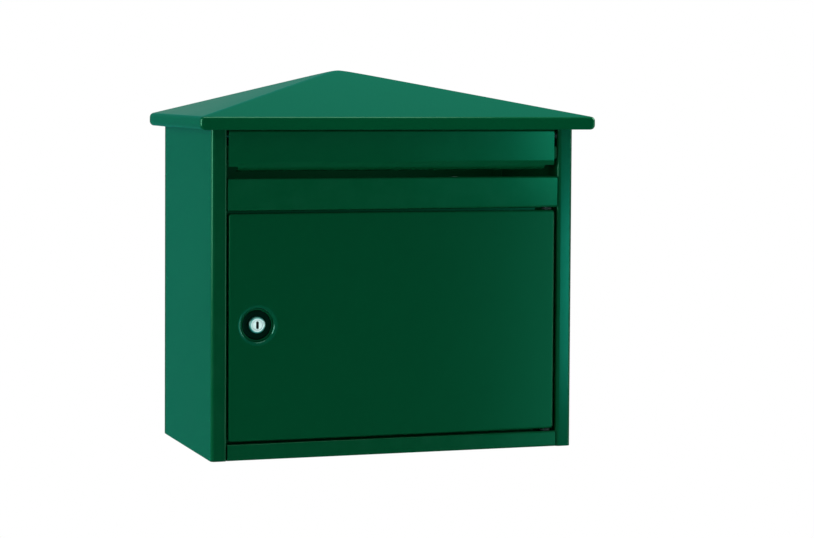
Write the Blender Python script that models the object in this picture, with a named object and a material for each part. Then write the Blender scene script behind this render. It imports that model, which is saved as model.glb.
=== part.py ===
"""Wall-mounted steel mailbox: hipped roof, lifting letter flap, locked front door on the right-hand hinge."""

import math

import bmesh
import bpy
from mathutils import Matrix, Vector

# Overall sizes, metres. Heights are taken from the underside of the box, depths from the wall.
BOX_WIDTH = 0.370
BOX_DEPTH = 0.196
BOX_HEIGHT = 0.3225

SHEET = 0.001
GAP = 0.0003
FOLD = 0.0010

# Roof
OVERHANG_SIDE = 0.016
OVERHANG_FRONT = 0.0212
ROOF_LAP = 0.0053
FASCIA_HEIGHT = 0.0122
ROOF_RISE = 0.0454
RIDGE_FLAT = 0.004

# Wall fixing holes in the back panel
WALL_HOLE_RADIUS = 0.0035
WALL_HOLE_FROM_SIDE = 0.055
WALL_HOLE_FROM_BOTTOM = 0.045
WALL_HOLE_FROM_TOP = 0.0375

# Front frame
STILE_WIDTH = 0.0158
STILE_RETURN_DEPTH = 0.024
BACK_FLANGE = 0.012
RAIL_HEIGHT = 0.0157
DOOR_STOP_LIP = 0.007
LIP_CLEAR_OF_HINGE = 0.0095
SLOT_HEIGHT = 0.0063
SILL_HEIGHT = 0.0309
SILL_TURN_DOWN = 0.008
HEADER_DROP = 0.020
HEADER_LEG = 0.012
TOP_FLANGE = 0.010

# Door
DOOR_GAP_LATCH = 0.0013
DOOR_GAP_HINGE = 0.0028
DOOR_GAP_HEIGHT = 0.0026
DOOR_RETURN = 0.012
DOOR_CORNER = 0.0035
DOOR_FOLD = 0.0012
HINGE_FROM_EDGE = 0.007
PIN_RADIUS = 0.0015
PIN_HEAD_RIM = 0.0021
PIN_HEAD = 0.0015
PIN_PAST_DOOR = 0.004
RUN_CLEARANCE = 0.00008
WASHER_WALL = 0.0032
CLIP_WALL = 0.0012
CLIP_THICKNESS = 0.0008

# Letter flap
FLAP_HEIGHT = 0.040
FLAP_TOP_GAP = 0.0004
FLAP_GAP_LEFT = 0.0009
FLAP_GAP_RIGHT = 0.0040
LIP_RADIUS = 0.009
LIP_FLAT = 0.0002
TOP_TURN = 0.0025
NOTCH_WIDTH = 0.0095
NOTCH_HEIGHT = 0.005
CLIP_BEHIND_FACE = 0.0005
FLAP_PIVOT_FROM_TOP = 0.0058
EAR_DEPTH = 0.009
EAR_HEIGHT = 0.0138
EAR_INSET = 0.0005
ROD_PAST_STILE = 0.004
SPACER_WALL = 0.0013
STOP_WIDTH = 0.009
STOP_HEIGHT = 0.012
STOP_LEG = 0.0147
STOP_BELOW_PIVOT = 0.011

# Lock
LOCK_FROM_EDGE = 0.0287
LOCK_HEIGHT = 0.1297
DISH_RADIUS = 0.0175
DISH_DEPTH = 0.007
DISH_TAPER = 0.0015
DISH_FILLET = 0.0013
DISH_RIM_SINK = 0.0003
DISH_RIM_LIP = 0.0002
DISH_LAP = 0.0009
PLUG_RADIUS = 0.005
BARREL_WALL = 0.001
BARREL_LENGTH = 0.0115
HEAD_FLANGE = 0.0023
HEAD_HEIGHT = 0.005
HEAD_CHAMFER = 0.0006
PLUG_PAST_BARREL = 0.0006
KEYWAY_WIDTH = 0.0018
KEYWAY_HEIGHT = 0.0074
KEYWAY_DEPTH = 0.009
STUB_SIDE = 0.005
NUT_WALL = 0.0025
NUT_THICKNESS = 0.004
CAM_THICKNESS = 0.0015
CAM_ROOT_RADIUS = 0.007
CAM_TIP_RADIUS = 0.005
CAM_TIP_CLEARANCE = 0.0042
CAM_SCREW_RADIUS = 0.0014
CAM_SCREW_HEAD_RADIUS = 0.0042
CAM_SCREW_HEAD = 0.0022
CAM_SCREW_LENGTH = 0.006
STRIKE_CLEARANCE = 0.0006
STRIKE_WIDTH = 0.011
STRIKE_LEG = 0.010
STRIKE_HEIGHT = 0.032

# Roof brackets and their screws
BRACKET_FROM_SIDE = 0.075
BRACKET_FOOT = 0.012
BRACKET_LENGTH = 0.070
BRACKET_CLEAR_OF_HIP = 0.0109
SCREW_SPACING = 0.050
SCREW_RADIUS = 0.0019
SCREW_HEAD_RADIUS = 0.0035
SCREW_HEAD = 0.0022
NUT_M4_FLATS = 0.007
NUT_M4_THICKNESS = 0.003
SCREW_PAST_NUT = 0.0008

# Turned heads: the share of the height that is straight edge, and of the radius that is flat crown
HEAD_EDGE = 0.5
HEAD_CROWN = 0.6

ROUND = 32
SMALL_ROUND = 20
FOLD_STEPS = 2
LIP_STEPS = 7

# Places that several pieces share
HALF = BOX_WIDTH / 2
FRONT = -BOX_DEPTH
STILE_EDGE = HALF - STILE_WIDTH
BETWEEN = STILE_EDGE - GAP
CHANNEL_BACK = FRONT + DOOR_RETURN + GAP
RETURN_BACK = FRONT + STILE_RETURN_DEPTH
INNER_BACK = -SHEET - GAP
FASCIA_BOTTOM = BOX_HEIGHT - ROOF_LAP
FLAP_TOP = FASCIA_BOTTOM - FLAP_TOP_GAP
FLAP_BOTTOM = FLAP_TOP - FLAP_HEIGHT
SILL_TOP = FLAP_BOTTOM - SLOT_HEIGHT
SILL_BOTTOM = SILL_TOP - SILL_HEIGHT
WALL_HOLE_X = HALF - WALL_HOLE_FROM_SIDE
WALL_HOLE_TOP = BOX_HEIGHT - WALL_HOLE_FROM_TOP
WALL_CENTRE_HEIGHT = (WALL_HOLE_FROM_BOTTOM + WALL_HOLE_TOP) / 2
FIT_HOLE = PIN_RADIUS + GAP
PIN_HEAD_RADIUS = PIN_RADIUS + PIN_HEAD_RIM
WASHER_RADIUS = FIT_HOLE + WASHER_WALL
CLIP_RADIUS = FIT_HOLE + CLIP_WALL
DOOR_LEFT = -STILE_EDGE + DOOR_GAP_LATCH
DOOR_RIGHT = STILE_EDGE - DOOR_GAP_HINGE
DOOR_BOTTOM = RAIL_HEIGHT + DOOR_GAP_HEIGHT
DOOR_TOP = SILL_BOTTOM - DOOR_GAP_HEIGHT
HINGE_X = DOOR_RIGHT - HINGE_FROM_EDGE
HINGE_Y = FRONT + WASHER_RADIUS + GAP
LOCK_X = DOOR_LEFT + LOCK_FROM_EDGE
DISH_FLOOR = FRONT + DISH_DEPTH
FLAP_LEFT = -STILE_EDGE + FLAP_GAP_LEFT
FLAP_RIGHT = STILE_EDGE - FLAP_GAP_RIGHT
PIVOT_Y = FRONT + SHEET + CLIP_BEHIND_FACE + CLIP_RADIUS
PIVOT_Z = FLAP_TOP - FLAP_PIVOT_FROM_TOP
EAVE_TOP = FASCIA_BOTTOM + FASCIA_HEIGHT
APEX = EAVE_TOP + ROOF_RISE
EAVE_X = HALF + OVERHANG_SIDE
EAVE_Y = FRONT - OVERHANG_FRONT
SCREW_HOLE = SCREW_RADIUS + GAP
BARREL_RADIUS = PLUG_RADIUS + BARREL_WALL
HEAD_RADIUS = BARREL_RADIUS + HEAD_FLANGE
HEAD_FRONT = DISH_FLOOR - GAP - HEAD_HEIGHT
BARREL_BACK = DISH_FLOOR + BARREL_LENGTH
PLUG_BACK = BARREL_BACK + PLUG_PAST_BARREL
CAM_FRONT = PLUG_BACK + GAP
CAM_BACK = CAM_FRONT + CAM_THICKNESS
CAM_REACH = LOCK_X + BETWEEN - CAM_TIP_RADIUS - CAM_TIP_CLEARANCE
STRIKE_BACK = CAM_FRONT - STRIKE_CLEARANCE
STRIKE_FRONT = STRIKE_BACK - SHEET
BRACKET_X = HALF - BRACKET_FROM_SIDE
BRACKET_INNER = BRACKET_X - BRACKET_FOOT
BRACKET_FRONT = EAVE_Y * BRACKET_INNER / EAVE_X + BRACKET_CLEAR_OF_HIP
BRACKET_SCREW_X = BRACKET_X - BRACKET_FOOT / 2

FINISHES = {
    "green_paint": ((0.004, 0.075, 0.045), 0.30, 0.0),
    "zinc_steel": ((0.62, 0.63, 0.64), 0.40, 0.9),
    "chrome": ((0.75, 0.76, 0.76), 0.12, 1.0),
    "black_nylon": ((0.020, 0.022, 0.022), 0.55, 0.0),
}


def clear_scene():
    for item in list(bpy.data.objects):
        bpy.data.objects.remove(item, do_unlink=True)


def make_empty(name, point, parent=None):
    empty = bpy.data.objects.new(name, None)
    empty.empty_display_size = 0.02
    bpy.context.scene.collection.objects.link(empty)
    empty["anchor"] = tuple(point)
    if parent is not None:
        empty.parent = parent
        empty.location = Vector(point) - Vector(parent["anchor"])
    return empty


def make_object(name, bm, origin, parent, finish=None):
    """Turns a bmesh in box coordinates into an object whose origin is at origin."""
    bmesh.ops.remove_doubles(bm, verts=bm.verts, dist=1e-7)
    bmesh.ops.recalc_face_normals(bm, faces=bm.faces)
    bmesh.ops.translate(bm, verts=bm.verts, vec=-Vector(origin))
    mesh = bpy.data.meshes.new(name)
    bm.to_mesh(mesh)
    bm.free()
    obj = bpy.data.objects.new(name, mesh)
    bpy.context.scene.collection.objects.link(obj)
    obj.parent = parent
    obj.location = Vector(origin) - Vector(parent["anchor"])
    obj["anchor"] = tuple(origin)
    if finish is None:
        obj.hide_render = True
        obj.display_type = "WIRE"
        return obj
    mesh.shade_smooth()
    mesh.set_sharp_from_angle(angle=math.radians(32))
    colour, roughness, metallic = FINISHES[finish]
    material = bpy.data.materials.new(f"{name}_{finish}")
    material.use_nodes = True
    shader = material.node_tree.nodes["Principled BSDF"]
    shader.inputs["Base Color"].default_value = (*colour, 1.0)
    shader.inputs["Roughness"].default_value = roughness
    shader.inputs["Metallic"].default_value = metallic
    mesh.materials.append(material)
    return obj


def add_boolean(target, helper, operation):
    modifier = target.modifiers.new(helper.name, "BOOLEAN")
    modifier.operation = operation
    modifier.solver = "EXACT"
    modifier.object = helper


def helper_for(target, bm, name):
    return make_object(name, bm, target["anchor"], target.parent)


def cut(target, bm, name):
    add_boolean(target, helper_for(target, bm, f"{target.name}_cut_{name}"), "DIFFERENCE")


def weld(target, bm, name):
    add_boolean(target, helper_for(target, bm, f"{target.name}_add_{name}"), "UNION")


def box(low, high):
    bm = bmesh.new()
    bmesh.ops.create_cube(bm, size=1.0)
    size = Vector(high) - Vector(low)
    bmesh.ops.scale(bm, verts=bm.verts, vec=size)
    bmesh.ops.translate(bm, verts=bm.verts, vec=(Vector(low) + Vector(high)) / 2)
    return bm


def loft(rings, close=False):
    """Joins rings of equal length; the first and last are capped, or joined to each other if close is set."""
    bm = bmesh.new()
    layers = [[bm.verts.new(point) for point in ring] for ring in rings]
    count = len(layers[0])
    pairs = list(zip(layers, layers[1:]))
    if close:
        pairs.append((layers[-1], layers[0]))
    for first, second in pairs:
        for i in range(count):
            j = (i + 1) % count
            bm.faces.new((first[i], first[j], second[j], second[i]))
    if not close:
        bm.faces.new(list(reversed(layers[0])))
        bm.faces.new(layers[-1])
    return bm


def revolve(profile, centre, axis, steps=ROUND):
    """Turns (radius, along) points about an axis through centre. A closed profile off the axis makes a ring."""
    turn = {"X": ((0, 1, 0), (0, 0, 1), (1, 0, 0)), "Y": ((0, 0, 1), (1, 0, 0), (0, 1, 0))}
    across, other, along = (Vector(v) for v in turn.get(axis, ((1, 0, 0), (0, 1, 0), (0, 0, 1))))
    rings = []
    for radius, offset in profile:
        ring = []
        for i in range(steps):
            angle = math.tau * (i + 0.5) / steps
            point = across * math.cos(angle) * radius + other * math.sin(angle) * radius
            ring.append(Vector(centre) + point + along * offset)
        rings.append(ring)
    return rings


def disc(radius, centre, axis, start, end, steps=ROUND):
    return loft(revolve([(radius, start), (radius, end)], centre, axis, steps))


def ring(inner, outer, centre, axis, start, end, steps=ROUND):
    profile = [(inner, start), (outer, start), (outer, end), (inner, end)]
    return loft(revolve(profile, centre, axis, steps), close=True)


def folded(path, radius=FOLD, steps=FOLD_STEPS):
    """Outline of a sheet whose face follows path and whose thickness lies to the right of it.

    radius is the inner bend radius, one value or one per corner."""
    points = [Vector(p) for p in path]
    face = []
    back = []
    for i, point in enumerate(points):
        into = (points[i] - points[i - 1]).normalized() if i else None
        out = (points[i + 1] - points[i]).normalized() if i < len(points) - 1 else None
        if into is None or out is None:
            run = out or into
            face.append(point)
            back.append(point + Vector((run.y, -run.x)) * SHEET)
            continue
        bend = radius[i - 1] if isinstance(radius, (list, tuple)) else radius
        count = steps[i - 1] if isinstance(steps, (list, tuple)) else steps
        turn = math.atan2(into.x * out.y - into.y * out.x, into.dot(out))
        to_right = turn < 0
        face_radius = bend + SHEET if to_right else bend
        back_radius = bend if to_right else bend + SHEET
        side = 1 if to_right else -1
        normal = Vector((into.y, -into.x))
        centre = point - into * face_radius * math.tan(abs(turn) / 2) + normal * face_radius * side
        for step in range(count + 1):
            spin = Matrix.Rotation(turn * step / count, 2)
            arm = (spin @ normal) * side
            face.append(centre - arm * face_radius)
            back.append(centre - arm * back_radius)
    return face + back[::-1]


def extrude(outline, axis, start, end):
    """Runs a 2-D outline along an axis: (y, z) along X, (x, z) along Y and (x, y) along Z."""
    place = {
        "X": lambda a, b, c: (c, a, b),
        "Y": lambda a, b, c: (a, c, b),
        "Z": lambda a, b, c: (a, b, c),
    }[axis]
    return loft([[place(p[0], p[1], c) for p in outline] for c in (start, end)])


def rounded_rectangle(x0, x1, z0, z1, radius, y, steps=3):
    points = []
    corners = ((x1, z1, 0), (x0, z1, 90), (x0, z0, 180), (x1, z0, 270))
    for x, z, start in corners:
        cx = x - math.copysign(radius, x - (x0 + x1) / 2)
        cz = z - math.copysign(radius, z - (z0 + z1) / 2)
        for i in range(steps + 1):
            angle = math.radians(start + 90 * i / steps)
            points.append((cx + radius * math.cos(angle), y, cz + radius * math.sin(angle)))
    return points


def regular(flats, sides, centre, turn=0.0):
    radius = flats / 2 / math.cos(math.pi / sides)
    return [
        (
            centre[0] + radius * math.cos(math.tau * i / sides + turn),
            centre[1] + radius * math.sin(math.tau * i / sides + turn),
        )
        for i in range(sides)
    ]


def build_back_panel(root):
    origin = (0, 0, WALL_CENTRE_HEIGHT)
    panel = make_object(
        "back_panel",
        box((-HALF, -SHEET, 0), (HALF, 0, FASCIA_BOTTOM - GAP)),
        origin, root, "green_paint",
    )
    for side in (-1, 1):
        for name, z in (("low", WALL_HOLE_FROM_BOTTOM), ("high", WALL_HOLE_TOP)):
            centre = (side * WALL_HOLE_X, 0, z)
            hole = disc(WALL_HOLE_RADIUS, centre, "Y", -2 * SHEET, SHEET, SMALL_ROUND)
            cut(panel, hole, f"wall_{side}_{name}")


def build_side_panel(root, name, side):
    path = [
        (HALF - BACK_FLANGE, INNER_BACK),
        (HALF, INNER_BACK),
        (HALF, FRONT),
        (STILE_EDGE, FRONT),
        (STILE_EDGE, RETURN_BACK),
    ]
    outline = [(p[0] * side, p[1]) for p in folded(path)]
    panel = make_object(
        name, extrude(outline, "Z", 0, BOX_HEIGHT), (HALF * side, FRONT / 2, 0), root, "green_paint"
    )
    rod = disc(
        FIT_HOLE, (STILE_EDGE * side, PIVOT_Y, PIVOT_Z), "X", -2 * SHEET, 2 * SHEET, SMALL_ROUND
    )
    cut(panel, rod, "rod")


def build_bottom_panel(root):
    inside = HALF - SHEET - GAP
    back = INNER_BACK - SHEET - GAP
    path = [
        (back, BACK_FLANGE),
        (back, 0),
        (FRONT, 0),
        (FRONT, RAIL_HEIGHT),
        (CHANNEL_BACK, RAIL_HEIGHT),
        (CHANNEL_BACK, RAIL_HEIGHT + DOOR_STOP_LIP),
    ]
    panel = make_object(
        "bottom_panel", extrude(folded(path), "X", -inside, inside), (0, FRONT / 2, 0), root,
        "green_paint",
    )
    cut_front_corners(panel, -SHEET, 2 * RAIL_HEIGHT)
    cut_hinge_end(panel, RAIL_HEIGHT + GAP, RAIL_HEIGHT + 2 * DOOR_STOP_LIP)
    pin = disc(FIT_HOLE, (HINGE_X, HINGE_Y, RAIL_HEIGHT), "Z", -2 * SHEET, SHEET, SMALL_ROUND)
    cut(panel, pin, "hinge_pin")


def cut_front_corners(panel, low, high):
    """Notches a panel round the stiles and their returns."""
    for side in (-1, 1):
        ends = sorted((side * BETWEEN, side * HALF))
        cutter = box((ends[0], FRONT - SHEET, low), (ends[1], RETURN_BACK + GAP, high))
        cut(panel, cutter, f"corner_{side}")


def cut_hinge_end(panel, low, high):
    """Removes the door stop lip where the door's back corner swings past it."""
    start = HINGE_X - LIP_CLEAR_OF_HINGE
    cutter = box((start, CHANNEL_BACK - SHEET / 2, low), (HALF, CHANNEL_BACK + 3 * SHEET, high))
    cut(panel, cutter, "hinge_end")


def build_top_plate(root):
    inside = HALF - SHEET - GAP
    low = BOX_HEIGHT - SHEET - TOP_FLANGE
    path = [(-inside, low), (-inside, BOX_HEIGHT), (inside, BOX_HEIGHT), (inside, low)]
    plate = make_object(
        "top_plate",
        extrude(folded(path), "Y", CHANNEL_BACK, INNER_BACK - SHEET - GAP),
        (0, FRONT / 2, BOX_HEIGHT), root, "green_paint",
    )
    cut_front_corners(plate, low - SHEET, BOX_HEIGHT + SHEET)
    for side in (-1, 1):
        for n, y in enumerate(screw_places()):
            centre = (side * BRACKET_SCREW_X, y, BOX_HEIGHT)
            hole = disc(SCREW_HOLE, centre, "Z", -2 * SHEET, SHEET, SMALL_ROUND)
            cut(plate, hole, f"screw_{side}_{n}")


def build_front_header(root):
    top = BOX_HEIGHT - SHEET - GAP
    path = [
        (CHANNEL_BACK, top - HEADER_DROP),
        (CHANNEL_BACK, top),
        (CHANNEL_BACK + HEADER_LEG, top),
    ]
    make_object(
        "front_header", extrude(folded(path), "X", -BETWEEN, BETWEEN), (0, CHANNEL_BACK, top), root,
        "green_paint",
    )


def roof_ring(inset, z):
    x = EAVE_X - inset
    y = EAVE_Y + inset
    return [(-x, y, z), (x, y, z), (x, -inset, z), (-x, -inset, z)]


def build_roof_cover(root):
    slope = math.atan2(ROOF_RISE, EAVE_X)
    under = SHEET / math.cos(slope)
    inner_eave = EAVE_TOP - under + SHEET * math.tan(slope)
    top = RIDGE_FLAT / 2
    inner_top = top - SHEET / 2
    peak = [(-top, -top, APEX), (top, -top, APEX), (top, 0, APEX), (-top, 0, APEX)]
    inner_peak = [
        (-inner_top, -top - SHEET / 2, APEX - under),
        (inner_top, -top - SHEET / 2, APEX - under),
        (inner_top, -SHEET, APEX - under),
        (-inner_top, -SHEET, APEX - under),
    ]
    rings = [
        inner_peak,
        roof_ring(SHEET, inner_eave),
        roof_ring(SHEET, FASCIA_BOTTOM),
        roof_ring(0, FASCIA_BOTTOM),
        roof_ring(0, EAVE_TOP),
        peak,
    ]
    make_object("roof_cover", loft(rings), (0, EAVE_Y / 2, EAVE_TOP), root, "green_paint")


def roof_underside(x):
    """Height of the sloping side sheet's underside at a distance x from the middle."""
    slope = ROOF_RISE / (EAVE_X - RIDGE_FLAT / 2)
    return EAVE_TOP + (EAVE_X - x) * slope - SHEET * math.hypot(1, slope) - GAP


def screw_places():
    middle = BRACKET_FRONT + BRACKET_LENGTH / 2
    return [middle + side * SCREW_SPACING / 2 for side in (-1, 1)]


def build_roof_bracket(root, name, side):
    foot = BOX_HEIGHT + GAP
    path = [
        (BRACKET_INNER, roof_underside(BRACKET_INNER)),
        (BRACKET_X, roof_underside(BRACKET_X)),
        (BRACKET_X, foot),
        (BRACKET_INNER, foot),
    ]
    outline = [(p[0] * side, p[1]) for p in folded(path)]
    bracket = make_object(
        name, extrude(outline, "Y", BRACKET_FRONT, BRACKET_FRONT + BRACKET_LENGTH),
        (side * BRACKET_X, BRACKET_FRONT, foot), root, "zinc_steel",
    )
    x = side * BRACKET_SCREW_X
    word = "left" if side < 0 else "right"
    for end, y in zip(("front", "back"), screw_places()):
        hole = disc(SCREW_HOLE, (x, y, foot), "Z", -SHEET, 2 * SHEET, SMALL_ROUND)
        cut(bracket, hole, f"screw_{end}")
        under = BOX_HEIGHT - SHEET - GAP
        nut_foot = foot + SHEET + GAP
        tip = nut_foot + NUT_M4_THICKNESS + SCREW_PAST_NUT
        profile = [
            (SCREW_HEAD_RADIUS * HEAD_CROWN, -SCREW_HEAD),
            (SCREW_HEAD_RADIUS, -SCREW_HEAD * HEAD_EDGE),
            (SCREW_HEAD_RADIUS, 0),
            (SCREW_RADIUS, 0),
            (SCREW_RADIUS, tip - under),
        ]
        make_object(
            f"roof_screw_{word}_{end}", loft(revolve(profile, (x, y, under), "Z", SMALL_ROUND)),
            (x, y, under), root, "zinc_steel",
        )
        nut = make_object(
            f"roof_nut_{word}_{end}",
            extrude(regular(NUT_M4_FLATS, 6, (x, y)), "Z", nut_foot, nut_foot + NUT_M4_THICKNESS),
            (x, y, nut_foot), root, "zinc_steel",
        )
        bore = disc(
            SCREW_HOLE, (x, y, nut_foot), "Z", -SHEET, NUT_M4_THICKNESS + SHEET, SMALL_ROUND
        )
        cut(nut, bore, "bore")


def build_slot_sill(root):
    path = [
        (CHANNEL_BACK, SILL_BOTTOM - DOOR_STOP_LIP),
        (CHANNEL_BACK, SILL_BOTTOM),
        (FRONT, SILL_BOTTOM),
        (FRONT, SILL_TOP),
        (CHANNEL_BACK, SILL_TOP),
        (CHANNEL_BACK, SILL_TOP - SILL_TURN_DOWN),
    ]
    sill = make_object(
        "slot_sill_panel", extrude(folded(path), "X", -BETWEEN, BETWEEN),
        (0, FRONT, (SILL_BOTTOM + SILL_TOP) / 2), root, "green_paint",
    )
    cut_hinge_end(sill, SILL_BOTTOM - 2 * DOOR_STOP_LIP, SILL_BOTTOM - GAP)
    pin = disc(FIT_HOLE, (HINGE_X, HINGE_Y, SILL_BOTTOM), "Z", -SHEET, 2 * SHEET, SMALL_ROUND)
    cut(sill, pin, "hinge_pin")


def build_flap(root, pivot):
    path = [
        (FRONT + LIP_RADIUS + SHEET + LIP_FLAT, FLAP_BOTTOM),
        (FRONT, FLAP_BOTTOM),
        (FRONT, FLAP_TOP),
        (FRONT + TOP_TURN, FLAP_TOP),
    ]
    outline = folded(path, (LIP_RADIUS, FOLD), (LIP_STEPS, FOLD_STEPS))
    centre = (0, PIVOT_Y, PIVOT_Z)
    flap = make_object(
        "flap_panel", extrude(outline, "X", FLAP_LEFT, FLAP_RIGHT), centre, pivot, "green_paint"
    )
    for name, end, side in (("left", FLAP_LEFT, 1), ("right", FLAP_RIGHT, -1)):
        far = end + side * NOTCH_WIDTH
        near = end - side * SHEET
        low = (min(near, far), FRONT - SHEET, FLAP_BOTTOM - SHEET)
        high = (max(near, far), FRONT + 2 * LIP_RADIUS, FLAP_BOTTOM + NOTCH_HEIGHT)
        cut(flap, box(low, high), f"notch_{name}")
        ear = sorted((end + side * EAR_INSET, end + side * (EAR_INSET + SHEET)))
        top = FLAP_TOP - SHEET
        weld(
            flap,
            box(
                (ear[0], FRONT + SHEET / 2, top - EAR_HEIGHT),
                (ear[1], FRONT + SHEET + EAR_DEPTH, top + SHEET / 2),
            ),
            f"ear_{name}",
        )
        hole = disc(
            PIN_RADIUS + RUN_CLEARANCE, (ear[0], PIVOT_Y, PIVOT_Z), "X", -SHEET, 2 * SHEET
        )
        cut(flap, hole, f"rod_{name}")

    end = STILE_EDGE + SHEET + ROD_PAST_STILE
    make_object(
        "flap_hinge_rod", disc(PIN_RADIUS, centre, "X", -end, end, SMALL_ROUND), centre, root,
        "zinc_steel",
    )
    spacer = ring(
        FIT_HOLE, FIT_HOLE + SPACER_WALL, (0, PIVOT_Y, PIVOT_Z), "X",
        FLAP_RIGHT - EAR_INSET + GAP, STILE_EDGE - GAP, SMALL_ROUND,
    )
    make_object(
        "flap_rod_spacer", spacer, (STILE_EDGE, PIVOT_Y, PIVOT_Z), root, "black_nylon"
    )
    for name, side in (("left", -1), ("right", 1)):
        near = side * (STILE_EDGE + SHEET + GAP)
        far = near + side * CLIP_THICKNESS
        clip = ring(
            FIT_HOLE, CLIP_RADIUS, (0, PIVOT_Y, PIVOT_Z), "X", min(near, far), max(near, far),
            SMALL_ROUND,
        )
        make_object(f"flap_rod_clip_{name}", clip, (near, PIVOT_Y, PIVOT_Z), root, "zinc_steel")
        build_flap_stop(root, name, side)


def build_flap_stop(root, name, side):
    front = FRONT + SHEET + GAP
    path = [
        (BETWEEN, front + STOP_LEG),
        (BETWEEN, front),
        (BETWEEN - STOP_WIDTH, front),
    ]
    # The sheet lies to the right of this path, inside the angle.
    outline = [(p[0] * side, p[1]) for p in folded(path)]
    top = PIVOT_Z - STOP_BELOW_PIVOT
    make_object(
        f"flap_stop_{name}", extrude(outline, "Z", top - STOP_HEIGHT, top),
        (side * BETWEEN, front, top), root, "green_paint",
    )


def door_tray():
    outer = DOOR_FOLD + SHEET
    arc = [math.radians(90 * i / FOLD_STEPS) for i in range(FOLD_STEPS + 1)]
    spots = []
    for angle in reversed(arc):
        inset = SHEET + DOOR_FOLD * (1 - math.cos(angle))
        spots.append((inset, FRONT + outer - DOOR_FOLD * math.sin(angle)))
    spots.append((SHEET, FRONT + DOOR_RETURN))
    spots.append((0, FRONT + DOOR_RETURN))
    for angle in arc:
        spots.append((outer * (1 - math.cos(angle)), FRONT + outer * (1 - math.sin(angle))))
    rings = [
        rounded_rectangle(
            DOOR_LEFT + inset, DOOR_RIGHT - inset, DOOR_BOTTOM + inset, DOOR_TOP - inset,
            DOOR_CORNER - inset, y,
        )
        for inset, y in spots
    ]
    return loft(rings)


def build_door(hinge):
    door = make_object(
        "door_panel", door_tray(), (HINGE_X, HINGE_Y, DOOR_BOTTOM), hinge, "green_paint"
    )
    centre = (LOCK_X, 0, LOCK_HEIGHT)
    for name, z in (("lower", DOOR_BOTTOM), ("upper", DOOR_TOP)):
        pin = disc(PIN_RADIUS + RUN_CLEARANCE, (HINGE_X, HINGE_Y, z), "Z", -2 * SHEET, 2 * SHEET)
        cut(door, pin, f"pin_{name}")
    cut(door, disc(DISH_RADIUS, centre, "Y", FRONT - SHEET, FRONT + 2 * SHEET), "dish")
    rim = FRONT + DISH_RIM_SINK
    wall = DISH_RADIUS - DISH_TAPER
    hole = BARREL_RADIUS + GAP
    mitre = SHEET * math.tan(math.radians(45 / 2))
    profile = [
        (DISH_RADIUS + DISH_LAP, rim),
        (DISH_RADIUS - DISH_RIM_LIP, rim),
        (wall, DISH_FLOOR - DISH_FILLET),
        (wall - DISH_FILLET, DISH_FLOOR),
        (hole, DISH_FLOOR),
        (hole, DISH_FLOOR + SHEET),
        (wall - DISH_FILLET + mitre, DISH_FLOOR + SHEET),
        (wall + SHEET, DISH_FLOOR - DISH_FILLET + mitre),
        (DISH_RADIUS + DISH_LAP, rim + SHEET),
    ]
    weld(door, loft(revolve(profile, centre, "Y"), close=True), "dish")


def build_hinge_end(root, name, fixed, door_edge, direction):
    """Pin, washer and clip at one end of the door; direction points from the door to the fixed part."""
    head = fixed + direction * (SHEET + GAP)
    tip = door_edge - direction * (SHEET + PIN_PAST_DOOR)
    profile = [
        (PIN_RADIUS, tip),
        (PIN_RADIUS, head),
        (PIN_HEAD_RADIUS, head),
        (PIN_HEAD_RADIUS, head + direction * PIN_HEAD * HEAD_EDGE),
        (PIN_HEAD_RADIUS * HEAD_CROWN, head + direction * PIN_HEAD),
    ]
    axis = (HINGE_X, HINGE_Y, 0)
    make_object(
        f"door_hinge_pin_{name}", loft(revolve(profile, axis, "Z", SMALL_ROUND)),
        (HINGE_X, HINGE_Y, fixed), root, "zinc_steel",
    )
    span = sorted((fixed - direction * GAP, door_edge + direction * GAP))
    make_object(
        f"door_washer_{name}",
        ring(FIT_HOLE, WASHER_RADIUS, axis, "Z", span[0], span[1], SMALL_ROUND),
        (HINGE_X, HINGE_Y, span[0]), root, "black_nylon",
    )
    near = door_edge - direction * (SHEET + GAP)
    clip = sorted((near, near - direction * CLIP_THICKNESS))
    make_object(
        f"door_hinge_clip_{name}",
        ring(FIT_HOLE, CLIP_RADIUS, axis, "Z", clip[0], clip[1], SMALL_ROUND),
        (HINGE_X, HINGE_Y, clip[0]), root, "zinc_steel",
    )


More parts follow.
